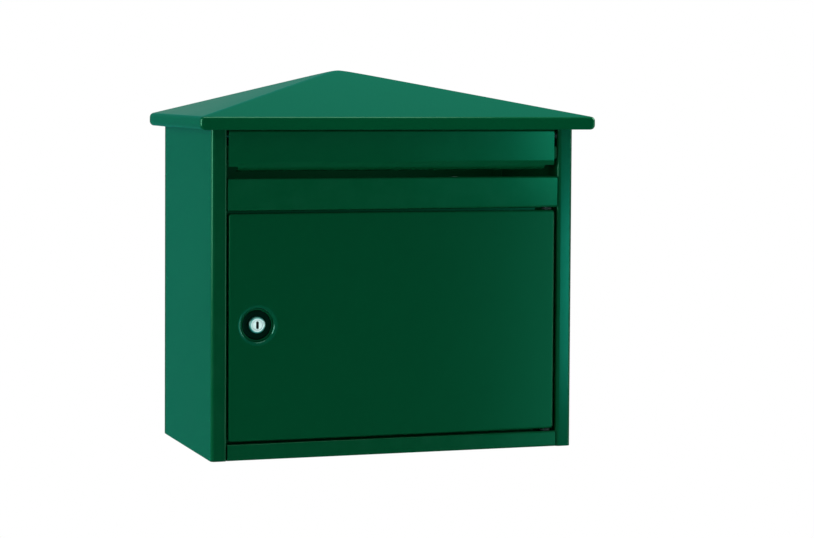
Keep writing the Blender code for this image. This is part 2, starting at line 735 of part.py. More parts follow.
def build_lock(hinge, turn):
    axis = (LOCK_X, 0, LOCK_HEIGHT)
    bore = PLUG_RADIUS + RUN_CLEARANCE
    profile = [
        (bore, HEAD_FRONT),
        (HEAD_RADIUS - HEAD_CHAMFER, HEAD_FRONT),
        (HEAD_RADIUS, HEAD_FRONT + HEAD_CHAMFER),
        (HEAD_RADIUS, DISH_FLOOR - GAP),
        (BARREL_RADIUS, DISH_FLOOR - GAP),
        (BARREL_RADIUS, BARREL_BACK),
        (bore, BARREL_BACK),
    ]
    make_object(
        "lock_housing", loft(revolve(profile, axis, "Y"), close=True),
        (LOCK_X, DISH_FLOOR, LOCK_HEIGHT), hinge, "chrome",
    )
    nut_front = DISH_FLOOR + SHEET + GAP
    nut = make_object(
        "lock_nut",
        extrude(
            regular(2 * (BARREL_RADIUS + NUT_WALL), 6, (LOCK_X, LOCK_HEIGHT)),
            "Y", nut_front, nut_front + NUT_THICKNESS,
        ),
        (LOCK_X, nut_front, LOCK_HEIGHT), hinge, "zinc_steel",
    )
    hole = disc(
        BARREL_RADIUS + GAP, axis, "Y", nut_front - SHEET, nut_front + NUT_THICKNESS + SHEET
    )
    cut(nut, hole, "bore")

    plug = make_object(
        "lock_plug", disc(PLUG_RADIUS, axis, "Y", HEAD_FRONT, PLUG_BACK),
        (LOCK_X, HEAD_FRONT, LOCK_HEIGHT), turn, "chrome",
    )
    stub = STUB_SIDE / 2
    weld(
        plug,
        box(
            (LOCK_X - stub, PLUG_BACK - SHEET, LOCK_HEIGHT - stub),
            (LOCK_X + stub, CAM_BACK, LOCK_HEIGHT + stub),
        ),
        "stub",
    )
    cut(
        plug,
        box(
            (LOCK_X - KEYWAY_WIDTH / 2, HEAD_FRONT - SHEET, LOCK_HEIGHT - KEYWAY_HEIGHT / 2),
            (LOCK_X + KEYWAY_WIDTH / 2, HEAD_FRONT + KEYWAY_DEPTH, LOCK_HEIGHT + KEYWAY_HEIGHT / 2),
        ),
        "keyway",
    )
    screw_end = CAM_BACK + GAP - CAM_SCREW_LENGTH
    cut(
        plug,
        disc(CAM_SCREW_RADIUS + GAP, axis, "Y", screw_end - GAP, CAM_BACK + SHEET, SMALL_ROUND),
        "screw",
    )
    build_cam(turn)
    profile = [
        (CAM_SCREW_RADIUS, screw_end),
        (CAM_SCREW_RADIUS, CAM_BACK + GAP),
        (CAM_SCREW_HEAD_RADIUS, CAM_BACK + GAP),
        (CAM_SCREW_HEAD_RADIUS, CAM_BACK + GAP + CAM_SCREW_HEAD * HEAD_EDGE),
        (CAM_SCREW_HEAD_RADIUS * HEAD_CROWN, CAM_BACK + GAP + CAM_SCREW_HEAD),
    ]
    make_object(
        "cam_screw", loft(revolve(profile, axis, "Y", SMALL_ROUND)),
        (LOCK_X, CAM_BACK, LOCK_HEIGHT), turn, "zinc_steel",
    )


def build_cam(turn):
    """A tapering plate that hangs straight down from the lock's axis."""
    half_steps = SMALL_ROUND // 2
    lean = math.asin((CAM_ROOT_RADIUS - CAM_TIP_RADIUS) / CAM_REACH)
    outline = []
    for i in range(half_steps + 1):
        angle = -lean + (math.pi + 2 * lean) * i / half_steps
        x = LOCK_X + CAM_ROOT_RADIUS * math.cos(angle)
        outline.append((x, LOCK_HEIGHT + CAM_ROOT_RADIUS * math.sin(angle)))
    for i in range(half_steps + 1):
        angle = math.pi + lean + (math.pi - 2 * lean) * i / half_steps
        x = LOCK_X + CAM_TIP_RADIUS * math.cos(angle)
        outline.append((x, LOCK_HEIGHT - CAM_REACH + CAM_TIP_RADIUS * math.sin(angle)))
    cam = make_object(
        "lock_cam", extrude(outline, "Y", CAM_FRONT, CAM_BACK), (LOCK_X, CAM_FRONT, LOCK_HEIGHT),
        turn, "zinc_steel",
    )
    hole = STUB_SIDE / 2 + GAP
    cut(
        cam,
        box(
            (LOCK_X - hole, CAM_FRONT - SHEET, LOCK_HEIGHT - hole),
            (LOCK_X + hole, CAM_BACK + SHEET, LOCK_HEIGHT + hole),
        ),
        "stub",
    )


def build_strike(root):
    path = [
        (-BETWEEN + STRIKE_WIDTH, STRIKE_FRONT),
        (-BETWEEN, STRIKE_FRONT),
        (-BETWEEN, STRIKE_FRONT + STRIKE_LEG),
    ]
    outline = folded(path)
    middle = LOCK_HEIGHT
    make_object(
        "strike_bracket",
        extrude(outline, "Z", middle - STRIKE_HEIGHT / 2, middle + STRIKE_HEIGHT / 2),
        (-BETWEEN, STRIKE_FRONT, middle), root, "green_paint",
    )


def build():
    clear_scene()
    root = make_empty("mailbox", (0, 0, WALL_CENTRE_HEIGHT))
    door_hinge = make_empty("door_hinge", (HINGE_X, HINGE_Y, DOOR_BOTTOM), root)
    flap_hinge = make_empty("flap_hinge", (0, PIVOT_Y, PIVOT_Z), root)
    lock_turn = make_empty("lock_turn", (LOCK_X, HEAD_FRONT, LOCK_HEIGHT), door_hinge)
    build_back_panel(root)
    build_side_panel(root, "left_side_panel", -1)
    build_side_panel(root, "right_side_panel", 1)
    build_bottom_panel(root)
    build_top_plate(root)
    build_front_header(root)
    build_roof_cover(root)
    build_roof_bracket(root, "roof_bracket_left", -1)
    build_roof_bracket(root, "roof_bracket_right", 1)
    build_slot_sill(root)
    build_flap(root, flap_hinge)
    build_door(door_hinge)
    build_hinge_end(root, "lower", RAIL_HEIGHT, DOOR_BOTTOM, -1)
    build_hinge_end(root, "upper", SILL_BOTTOM, DOOR_TOP, 1)
    build_lock(door_hinge, lock_turn)
    build_strike(root)


build()
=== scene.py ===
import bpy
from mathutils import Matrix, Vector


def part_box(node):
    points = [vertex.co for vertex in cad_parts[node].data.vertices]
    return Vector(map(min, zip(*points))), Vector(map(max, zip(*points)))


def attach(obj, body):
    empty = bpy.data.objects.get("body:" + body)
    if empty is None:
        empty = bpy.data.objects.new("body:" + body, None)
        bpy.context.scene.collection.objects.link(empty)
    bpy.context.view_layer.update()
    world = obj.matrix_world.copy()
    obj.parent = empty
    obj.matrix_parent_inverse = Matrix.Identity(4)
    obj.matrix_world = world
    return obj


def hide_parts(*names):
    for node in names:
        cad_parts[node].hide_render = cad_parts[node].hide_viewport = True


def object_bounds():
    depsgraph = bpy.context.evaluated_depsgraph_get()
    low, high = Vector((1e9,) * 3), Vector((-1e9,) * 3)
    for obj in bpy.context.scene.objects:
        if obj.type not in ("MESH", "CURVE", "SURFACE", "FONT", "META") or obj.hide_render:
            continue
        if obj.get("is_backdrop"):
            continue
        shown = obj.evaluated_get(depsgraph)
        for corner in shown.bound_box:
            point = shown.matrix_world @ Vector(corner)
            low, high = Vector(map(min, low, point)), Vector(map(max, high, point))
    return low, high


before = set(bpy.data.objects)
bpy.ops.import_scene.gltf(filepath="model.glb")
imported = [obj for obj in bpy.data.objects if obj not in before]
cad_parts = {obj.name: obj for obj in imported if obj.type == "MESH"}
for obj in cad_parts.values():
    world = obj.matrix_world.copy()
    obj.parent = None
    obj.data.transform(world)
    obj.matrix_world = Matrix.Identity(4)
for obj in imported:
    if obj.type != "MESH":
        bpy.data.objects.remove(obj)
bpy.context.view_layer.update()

import math

import bmesh
import bpy
from mathutils import Matrix, Vector

scene = bpy.context.scene


def middleOf(node):
    low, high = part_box(node)
    return [(a + b) / 2 for a, b in zip(low, high)]


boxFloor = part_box("bottom_panel")[0][2]  # underside of the box
sheet = 0.001  # steel thickness everywhere
gap = 0.0003  # air between pieces that touch
poleRadius = 0.0002  # smallest ring of a turned piece
pinRadius = (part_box("flap_hinge_rod")[1][2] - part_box("flap_hinge_rod")[0][2]) / 2
turningHole = pinRadius + 0.00008  # a hole that turns on its pin
fixedHole = pinRadius + gap
print("stage: frame loaded")

sides = (("left", -1), ("right", 1))

# camera
viewpoint = {
    "place": (-0.7435, -2.4172, boxFloor + 0.3668),
    "turn": 18.754,       # degrees towards +X
    "lookDown": 2.628,
    "roll": 0.34,
    "lens": 106.52,
    "shift": -0.0983,     # of the frame's width
}


def makeCamera(v):
    data = bpy.data.cameras.new("camera")
    data.sensor_width = 36.0
    data.lens = v["lens"]
    data.shift_y = v["shift"]
    data.clip_start = 0.05
    data.clip_end = 60
    camera = bpy.data.objects.new("camera", data)
    scene.collection.objects.link(camera)
    yaw, pitch, roll = (math.radians(v[k]) for k in ("turn", "lookDown", "roll"))
    right = Vector((math.cos(yaw), -math.sin(yaw), 0))
    forward = Vector((math.sin(yaw), math.cos(yaw), 0))
    upright = Vector((0, 0, 1))
    up = forward * math.sin(pitch) + upright * math.cos(pitch)
    ahead = forward * math.cos(pitch) - upright * math.sin(pitch)
    tiltedRight = right * math.cos(roll) + up * math.sin(roll)
    tiltedUp = up * math.cos(roll) - right * math.sin(roll)
    matrix = Matrix((tiltedRight, tiltedUp, -ahead)).transposed().to_4x4()
    matrix.translation = Vector(v["place"])
    camera.matrix_world = matrix
    scene.camera = camera


makeCamera(viewpoint)
print("stage: camera set")

# mesh helpers
axisFrames = {
    "X": (Vector((0, 1, 0)), Vector((0, 0, 1)), Vector((1, 0, 0))),
    "Y": (Vector((0, 0, 1)), Vector((1, 0, 0)), Vector((0, 1, 0))),
    "Z": (Vector((1, 0, 0)), Vector((0, 1, 0)), Vector((0, 0, 1))),
}


def quarterArc(steps=8):
    # sine and cosine over a quarter turn
    angles = [math.pi / 2 * i / steps for i in range(steps + 1)]
    return [(math.sin(a), math.cos(a)) for a in angles]


def joinRings(bm, layers):
    count = len(layers[0])
    for first, second in zip(layers, layers[1:]):
        for i in range(count):
            j = (i + 1) % count
            bm.faces.new((first[i], first[j], second[j], second[i]))


def loftRings(rings, closed=False):
    bm = bmesh.new()
    layers = [[bm.verts.new(p) for p in ring] for ring in rings]
    joinRings(bm, layers + layers[:1] if closed else layers)
    if not closed:
        bm.faces.new(layers[0][::-1])
        bm.faces.new(layers[-1])
    return bm


def turnedRings(profile, centre, axis, steps):
    across, other, along = axisFrames[axis]
    rings = []
    for radius, offset in profile:
        ring = []
        for i in range(steps):
            a = math.tau * i / steps
            arm = across * math.cos(a) + other * math.sin(a)
            ring.append(Vector(centre) + arm * radius + along * offset)
        rings.append(ring)
    return rings


def turned(profile, centre, axis, steps, closed=False):
    return loftRings(turnedRings(profile, centre, axis, steps), closed)


def drill(radius, start, end, centre, axis, steps=32):
    return turned([(radius, start), (radius, end)], centre, axis, steps)


def foldedOutline(path, bends, steps):
    # a sheet folded along the path, with an inner radius for each bend
    points = [Vector(p) for p in path]
    face, back = [], []
    for i, point in enumerate(points):
        into = (point - points[i - 1]).normalized() if i else None
        out = (points[i + 1] - point).normalized() if i < len(points) - 1 else None
        if into is None or out is None:
            run = out or into
            face.append(point)
            back.append(point + Vector((run.y, -run.x)) * sheet)
            continue
        bend = bends[i - 1] if isinstance(bends, list) else bends
        turn = math.atan2(into.x * out.y - into.y * out.x, into.dot(out))
        side = 1 if turn < 0 else -1
        faceRadius = bend + sheet if side > 0 else bend
        backRadius = bend if side > 0 else bend + sheet
        normal = Vector((into.y, -into.x))
        centre = point - into * faceRadius * math.tan(abs(turn) / 2) + normal * faceRadius * side
        count = max(steps, int(steps * faceRadius / 0.003))  # more steps in a wide bend
        for step in range(count + 1):
            arm = (Matrix.Rotation(turn * step / count, 2) @ normal) * side
            face.append(centre - arm * faceRadius)
            back.append(centre - arm * backRadius)
    return face + back[::-1]


def extruded(outline, axis, start, end, lift=None):
    place = {
        "X": lambda p, c: (c, p[0], p[1]),
        "Y": lambda p, c: (p[0], c, p[1]),
        "Z": lambda p, c: (p[0], p[1], c),
    }[axis]
    first = [place(p, start + (lift(p) if lift else 0)) for p in outline]
    return loftRings([first, [place(p, end) for p in outline]])


def foldedSheet(name, path, bends, axis, start, end, steps=6, side=1):
    outline = [(p[0] * side, p[1]) for p in foldedOutline(path, bends, steps)]
    return linkMesh(name, extruded(outline, axis, start, end))


def block(low, high):
    bm = bmesh.new()
    bmesh.ops.create_cube(bm, size=1.0)
    bmesh.ops.scale(bm, verts=bm.verts, vec=Vector(high) - Vector(low))
    bmesh.ops.translate(bm, verts=bm.verts, vec=(Vector(low) + Vector(high)) / 2)
    return bm


def roundedOutline(x0, x1, z0, z1, radius, steps=6):
    left, right, bottom, top = x0 + radius, x1 - radius, z0 + radius, z1 - radius
    points = []
    for cx, cz, start in ((right, top, 0), (left, top, 90), (left, bottom, 180), (right, bottom, 270)):
        for i in range(steps + 1):
            a = math.radians(start + 90 * i / steps)
            points.append((cx + radius * math.cos(a), cz + radius * math.sin(a)))
    return points


def linkMesh(name, bm):
    bmesh.ops.remove_doubles(bm, verts=bm.verts, dist=1e-6)
    bmesh.ops.recalc_face_normals(bm, faces=bm.faces)
    mesh = bpy.data.meshes.new(name)
    bm.to_mesh(mesh)
    bm.free()
    obj = bpy.data.objects.new(name, mesh)
    scene.collection.objects.link(obj)
    return obj


def carve(obj, tools, operation="DIFFERENCE"):
    made = []
    for n, tool in enumerate(tools):
        cutter = linkMesh(f"{obj.name}_tool_{n}", tool)
        modifier = obj.modifiers.new(cutter.name, "BOOLEAN")
        modifier.operation = operation
        modifier.solver = "EXACT"
        modifier.object = cutter
        made.append(cutter)
    bpy.context.view_layer.update()
    graph = bpy.context.evaluated_depsgraph_get()
    mesh = bpy.data.meshes.new_from_object(obj.evaluated_get(graph))
    obj.modifiers.clear()
    obj.data = mesh
    for cutter in made:
        bpy.data.objects.remove(cutter, do_unlink=True)


def finishPiece(obj, node, finish="enamel", body="cabinet", edge=0.0002, sharp=35):
    material, slot = finishes[finish]
    obj.data.materials.clear()
    obj.data.materials.append(material)
    if edge:
        bevel = obj.modifiers.new("softEdges", "BEVEL")
        bevel.width = edge
        bevel.segments = 2
        bevel.limit_method = "ANGLE"
        bevel.angle_limit = math.radians(50)
        sharp += 40  # the bevel's own faces stay smooth
    obj.data.shade_smooth()
    obj.data.set_sharp_from_angle(angle=math.radians(sharp))
    weighted = obj.modifiers.new("flatFaces", "WEIGHTED_NORMAL")
    weighted.keep_sharp = True
    weighted.weight = 80
    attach(obj, body)
    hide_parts(node)


# shader groups


def newGroup(name, inputs, output, kind="NodeSocketFloat"):
    group = bpy.data.node_groups.new(name, "ShaderNodeTree")
    kinds = {1: "NodeSocketFloat", 3: "NodeSocketVector", 4: "NodeSocketColor"}
    for label, value in inputs.items():
        size = len(value) if isinstance(value, tuple) else 1
        socket = group.interface.new_socket(name=label, in_out="INPUT", socket_type=kinds[size])
        socket.default_value = value
    group.interface.new_socket(name=output, in_out="OUTPUT", socket_type=kind)
    enter = group.nodes.new("NodeGroupInput")
    leave = group.nodes.new("NodeGroupOutput")
    return group, enter.outputs, leave.inputs


def addNode(tree, kind):
    return tree.nodes.new(f"ShaderNode{kind}")


def mathNode(tree, operation, first, second, clamp=False):
    node = addNode(tree, "Math")
    node.operation = operation
    node.use_clamp = clamp
    for socket, value in zip(node.inputs, (first, second)):
        if isinstance(value, float):
            socket.default_value = value
        else:
            tree.links.new(value, socket)
    return node.outputs[0]


def noiseNode(tree, vector, scale, detail, roughness=0.5):
    node = addNode(tree, "TexNoise")
    node.inputs["Detail"].default_value = detail
    node.inputs["Roughness"].default_value = roughness
    tree.links.new(scale, node.inputs["Scale"])
    tree.links.new(vector, node.inputs["Vector"])
    return node.outputs["Fac"]


def mixColours(tree, factor, first, second):
    mix = addNode(tree, "Mix")
    mix.data_type = "RGBA"
    tree.links.new(factor, mix.inputs["Factor"])
    for value, socket in ((first, mix.inputs[6]), (second, mix.inputs[7])):
        if isinstance(value, tuple):
            socket.default_value = value
        else:
            tree.links.new(value, socket)
    return mix.outputs[2]


def objectPlace(tree):
    return addNode(tree, "TexCoord").outputs["Object"]


def makeSprayTexture():
    inputs = {"Peel Scale": 700.0, "Peel Depth": 0.000003, "Wave Scale": 9.0, "Wave Depth": 0.00005}
    group, given, result = newGroup("sprayTexture", inputs, "Height")
    place = objectPlace(group)
    peelNoise = noiseNode(group, place, given["Peel Scale"], 2.0)
    peel = mathNode(group, "MULTIPLY", peelNoise, given["Peel Depth"])
    waveNoise = noiseNode(group, place, given["Wave Scale"], 1.0)
    wave = mathNode(group, "MULTIPLY", waveNoise, given["Wave Depth"])
    group.links.new(mathNode(group, "ADD", peel, wave), result["Height"])
    return group


def makeColourDrift():
    inputs = {"Base": (0.5, 0.5, 0.5, 1), "Shade": (0.4, 0.4, 0.4, 1),
              "Scale": 12.0, "Fleck Scale": 900.0, "Fleck": 0.1}
    group, given, result = newGroup("colourDrift", inputs, "Color", "NodeSocketColor")
    place = objectPlace(group)
    broad = noiseNode(group, place, given["Scale"], 4.0)
    fleck = noiseNode(group, place, given["Fleck Scale"], 2.0)
    flecked = mathNode(group, "MULTIPLY", mathNode(group, "SUBTRACT", fleck, 0.5), given["Fleck"])
    mask = mathNode(group, "ADD", broad, flecked, clamp=True)
    group.links.new(mixColours(group, mask, given["Base"], given["Shade"]), result["Color"])
    return group


def makeEdgeWear():
    inputs = {"Start": 0.54, "Sharpness": 14.0, "Patch Scale": 60.0, "Amount": 0.5}
    group, given, result = newGroup("edgeWear", inputs, "Mask")
    point = addNode(group, "NewGeometry").outputs["Pointiness"]
    beyond = mathNode(group, "SUBTRACT", point, given["Start"])
    edge = mathNode(group, "MULTIPLY", beyond, given["Sharpness"], clamp=True)
    patch = noiseNode(group, objectPlace(group), given["Patch Scale"], 5.0, 0.65)
    spots = mathNode(group, "MULTIPLY", mathNode(group, "SUBTRACT", patch, 0.35), 3.0, clamp=True)
    broken = mathNode(group, "MULTIPLY", edge, spots)
    group.links.new(mathNode(group, "MULTIPLY", broken, given["Amount"], clamp=True), result["Mask"])
    return group


def makeGlossDrift():
    inputs = {"Smooth": 0.2, "Dull": 0.3, "Smudge Scale": 22.0, "Stretch": (1.0, 1.0, 1.0)}
    group, given, result = newGroup("glossDrift", inputs, "Roughness")
    scaled = addNode(group, "VectorMath")
    scaled.operation = "MULTIPLY"
    group.links.new(objectPlace(group), scaled.inputs[0])
    group.links.new(given["Stretch"], scaled.inputs[1])
    smudge = noiseNode(group, scaled.outputs[0], given["Smudge Scale"], 6.0, 0.6)
    spread = mathNode(group, "SUBTRACT", given["Dull"], given["Smooth"])
    duller = mathNode(group, "MULTIPLY", smudge, spread)
    group.links.new(mathNode(group, "ADD", duller, given["Smooth"]), result["Roughness"])
    return group


def makeSettledDust():
    group, given, result = newGroup("settledDust", {"Amount": 0.1, "Grain Scale": 500.0}, "Mask")
    split = addNode(group, "SeparateXYZ")
    group.links.new(addNode(group, "NewGeometry").outputs["Normal"], split.inputs[0])
    up = mathNode(group, "POWER", mathNode(group, "MAXIMUM", split.outputs["Z"], 0.0), 3.0)
    speckle = noiseNode(group, objectPlace(group), given["Grain Scale"], 5.0, 0.7)
    grain = mathNode(group, "MULTIPLY", speckle, given["Amount"])
    group.links.new(mathNode(group, "MULTIPLY", up, grain, clamp=True), result["Mask"])
    return group


groups = {
    "spray": makeSprayTexture(),
    "drift": makeColourDrift(),
    "wear": makeEdgeWear(),
    "gloss": makeGlossDrift(),
    "dust": makeSettledDust(),
}


def placeGroup(tree, key, **values):
    # fleckScale=900.0 sets the input "Fleck Scale"
    node = addNode(tree, "Group")
    node.node_tree = groups[key]
    for word, value in values.items():
        label = "".join(f" {letter}" if letter.isupper() else letter for letter in word).title()
        node.inputs[label].default_value = value
    return node.outputs[0]


def startMaterial(name):
    material = bpy.data.materials.new(name)
    material.use_nodes = True
    tree = material.node_tree
    return material, tree, tree.nodes["Principled BSDF"]


def wireSurface(tree, shader, colour, roughness, height):
    tree.links.new(colour, shader.inputs["Base Color"])
    tree.links.new(roughness, shader.inputs["Roughness"])
    bump = addNode(tree, "Bump")
    bump.inputs["Strength"].default_value = 1.0
    bump.inputs["Distance"].default_value = 1.0
    tree.links.new(height, bump.inputs["Height"])
    tree.links.new(bump.outputs["Normal"], shader.inputs["Normal"])


enamel = {
    "base": (0.0, 0.074, 0.0235, 1),
    "shade": (0.0, 0.068, 0.0215, 1),
    "thin": (0.030, 0.15, 0.085, 1),     # paler on sharp folds: where the coat is thin, and a painted highlight along the edge
    "dust": (0.20, 0.27, 0.23, 1),
    "glossTint": (0.30, 1.0, 0.62, 1),
    "gloss": 0.5,
    "smooth": 0.13,
    "dull": 0.21,
    "wear": 0.30,
    "dustAmount": 0.03,
    "peelDepth": 0.0000020,
    "waveDepth": 0.00005,
    "coat": 0.0,
}
rimEnamel = dict(  # a thick glossy coat on the dish's lip
    enamel,
    glossTint=(0.25, 1.0, 0.75, 1),
    gloss=1.0,
    coat=0.12,
    dustAmount=0.0,
)
dishPaintedShadeEnamel = dict(  # painted shade: the inside of the dish is drawn near black to stand for the shade in the recess
    enamel,
    base=(0.0, 0.005, 0.0035, 1),
    shade=(0.0, 0.003, 0.002, 1),
    thin=(0.0, 0.02, 0.014, 1),
    gloss=0.3,
    smooth=0.20,
    dull=0.30,
    wear=0.15,
    dustAmount=0.0,
)


def makeEnamel(name, e):
    material, tree, shader = startMaterial(name)
    drift = placeGroup(tree, "drift", base=e["base"], shade=e["shade"], scale=7.0,
                       fleckScale=1400.0, fleck=0.25)
    wear = placeGroup(tree, "wear", start=0.53, sharpness=16.0, patchScale=45.0, amount=e["wear"])
    dust = placeGroup(tree, "dust", amount=e["dustAmount"], grainScale=420.0)
    gloss = placeGroup(tree, "gloss", smooth=e["smooth"], dull=e["dull"],
                       smudgeScale=14.0, stretch=(1.0, 1.0, 0.6))
    spray = placeGroup(tree, "spray", peelScale=620.0, peelDepth=e["peelDepth"],
                       waveScale=7.0, waveDepth=e["waveDepth"])
    # sharp edges turn paler: thin paint and a painted edge highlight
    wornAndSheen = mixColours(tree, wear, drift, e["thin"])
    wireSurface(tree, shader, mixColours(tree, dust, wornAndSheen, e["dust"]), gloss, spray)
    shader.inputs["Specular IOR Level"].default_value = e["gloss"]
    shader.inputs["Specular Tint"].default_value = e["glossTint"]
    shader.inputs["Coat Weight"].default_value = e["coat"]
    shader.inputs["Coat IOR"].default_value = 2.0
    return material


zinc = {
    "base": (0.60, 0.61, 0.62, 1), "shade": (0.47, 0.49, 0.52, 1), "bright": (0.85, 0.86, 0.87, 1),
    "patch": 160.0, "fleckScale": 2500.0, "fleck": 0.6, "wear": 0.5, "smooth": 0.28, "dull": 0.5,
    "smudge": 260.0, "stretch": (1.0, 1.0, 1.0), "grainScale": 3000.0, "grain": 0.000002, "metallic": 1.0,
}
chrome = {
    "base": (0.86, 0.90, 0.89, 1), "shade": (0.78, 0.83, 0.83, 1), "bright": (0.95, 0.97, 0.96, 1),
    "patch": 220.0, "fleckScale": 4000.0, "fleck": 0.2, "wear": 0.2, "smooth": 0.22, "dull": 0.36,
    "smudge": 500.0, "stretch": (1.0, 1.0, 4.0), "grainScale": 5000.0, "grain": 0.0000004, "metallic": 1.0,
}
nylon = {
    "base": (0.022, 0.024, 0.024, 1), "shade": (0.014, 0.016, 0.016, 1), "bright": (0.06, 0.065, 0.065, 1),
    "patch": 200.0, "fleckScale": 2500.0, "fleck": 0.3, "wear": 0.3, "smooth": 0.42, "dull": 0.60,
    "smudge": 300.0, "stretch": (1.0, 1.0, 1.0), "grainScale": 3500.0, "grain": 0.000004, "metallic": 0.0,
}


def makeMetal(name, m):
    material, tree, shader = startMaterial(name)
    drift = placeGroup(tree, "drift", base=m["base"], shade=m["shade"], scale=m["patch"],
                       fleckScale=m["fleckScale"], fleck=m["fleck"])
    wear = placeGroup(tree, "wear", start=0.53, sharpness=14.0, patchScale=300.0, amount=m["wear"])
    gloss = placeGroup(tree, "gloss", smooth=m["smooth"], dull=m["dull"],
                       smudgeScale=m["smudge"], stretch=m["stretch"])
    spray = placeGroup(tree, "spray", peelScale=m["grainScale"], peelDepth=m["grain"],
                       waveScale=90.0, waveDepth=m["grain"])
    wireSurface(tree, shader, mixColours(tree, wear, drift, m["bright"]), gloss, spray)
    shader.inputs["Metallic"].default_value = m["metallic"]
    return material


# material and slot of each finish
finishes = {
    "enamel": (makeEnamel("greenEnamel", enamel), "green_paint"),
    "zinc": (makeMetal("zincPlate", zinc), "zinc_steel"),
    "chrome": (makeMetal("polishedChrome", chrome), "chrome"),
    "nylon": (makeMetal("blackNylon", nylon), "black_nylon"),
}
# near-black copy of the green paint, painted shade for the inside of the dish
darkDish = makeEnamel("darkDish", dishPaintedShadeEnamel)
glossyRim = makeEnamel("glossyRim", rimEnamel)
print("stage: materials made")

# roof cover
roof = {
    "slopeSoft": 0.0045,     # softness of the hips, in plan
    "apexSoft": 0.006,
    "frontFold": 0.0022,     # outer radius between slope and fascia
    "sideFold": 0.0048,
    "frontHem": 0.0009,      # rounding of the lower edge
    "sideHem": 0.0046,
    "fasciaCorner": 0.0038,  # plan radius of the front corners
    "fascia": 0.0122,        # height of the fascia
    "rings": 26,
    "tip": [0.004, 0.010, 0.02, 0.03, 0.045],   # rings close to the apex
    "eave": [0.93, 0.955],                      # rings close to the eave
    "spacing": 1.6,          # how much closer the rings are near the eave
    "leastHem": 0.0002,
    "leastStep": 0.00002,    # between two rings of the fascia
}


def roofRing(x, yFront, yBack, corner, z, steps=10, side=10, wall=8):
    corner = max(1e-5, min(corner, x * 0.9, (yBack - yFront) * 0.9))
    turn = yFront + corner  # where the side ends and its corner starts
    arc = quarterArc(steps)
    ring = [(-x, yBack + (turn - yBack) * i / side) for i in range(side)]
    ring += [(-x + corner - corner * c, turn - corner * s) for s, c in arc]
    ring += [(-x + corner + (x - corner) * i / side, yFront) for i in range(1, side * 2)]
    ring += [(x - corner + corner * s, turn - corner * c) for s, c in arc]
    ring += [(x, turn + (yBack - turn) * i / side) for i in range(1, side + 1)]
    ring += [(x - 2 * x * i / wall, yBack) for i in range(1, wall)]
    return [(px, py, z) for px, py in ring]


def foldPull(height, slope, fold, hem, z):
    # how far a fascia of this height stands back at z above its lower edge
    reach = fold * math.tan((math.pi / 2 - slope) / 2)
    if z > height + reach * math.sin(slope):
        return (z - height) / math.tan(slope)
    if z > height - reach:
        return fold - math.sqrt(max(0.0, fold ** 2 - (z - height + reach) ** 2))
    if z < hem:
        return hem - math.sqrt(max(0.0, hem ** 2 - (hem - z) ** 2))
    return 0.0


def makeRoof(r):
    low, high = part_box("roof_cover")
    halfX, front, bottom, top = high[0], low[1], low[2], high[2]
    eave = bottom + r["fascia"]
    rise = top - eave

    def shell(inset, drop, backInset):
        x = halfX - inset
        y = front + inset
        soft = r["apexSoft"] / halfX
        reach = math.hypot(1.0, soft) - soft
        sideSlope = math.atan2(rise, x)
        frontSlope = math.atan2(rise, -y)
        sideFold = r["sideFold"] - inset
        frontFold = r["frontFold"] - inset
        sideHem = r["sideHem"] - inset
        frontHem = max(r["frontHem"] - inset, r["leastHem"])
        start = 1 - sideFold * (1 - math.sin(sideSlope)) / x
        spaced = [1 - (n / r["rings"]) ** r["spacing"] for n in range(r["rings"] + 1)]
        shares = sorted(r["tip"] + [s for s in spaced if 0.05 < s < 0.9] + r["eave"])
        rings = []
        for s in shares:
            z = top - drop - rise * (math.hypot(s, soft) - soft) / reach
            rings.append(roofRing(x * s, -backInset + (y + backInset) * s, -backInset, r["slopeSoft"], z))
        edge = bottom + inset  # the inner face stops one sheet higher
        height = eave - drop - edge
        levels = [height + (1 - start) * rise]
        for slope, fold in ((sideSlope, sideFold), (frontSlope, frontFold)):
            rest = math.pi / 2 - slope
            foldStart = height - fold * math.tan(rest / 2)
            levels += [foldStart + fold * math.cos(slope + rest * i / 9) for i in range(10)]
        levels += [height * 0.5]
        for hem in (sideHem, frontHem):
            levels += [hem * (1 - c) for s, c in quarterArc()]
        levels = sorted((z for z in levels if z <= levels[0] + 1e-9), reverse=True)
        kept = [z for n, z in enumerate(levels) if n == 0 or levels[n - 1] - z > r["leastStep"]]
        for z in kept:
            pullX = foldPull(height, sideSlope, sideFold, sideHem, z)
            pullY = foldPull(height, frontSlope, frontFold, frontHem, z)
            corner = max(r["fasciaCorner"] - min(inset, 0.0008), pullX * 0.5)
            rings.append(roofRing(x - pullX, y + pullY, -backInset, corner, edge + z))
        return rings

    outer = shell(0.0, 0.0, 0.0)
    inner = shell(sheet, sheet * 1.05, sheet)
    cover = linkMesh("roofCover", loftRings(outer + inner[::-1]))
    finishPiece(cover, "roof_cover", edge=0)


makeRoof(roof)
print("stage: roof made")

# side panels
sidePanels = {
    "stile": 0.0158,
    "returnDepth": 0.024,
    "backFlange": 0.012,
    "cornerBend": 0.0024,    # inner radius, side to stile
    "stileBend": 0.0026,     # inner radius, stile to return
    "footRound": 0.0020,     # rounding of the lower front corner
}


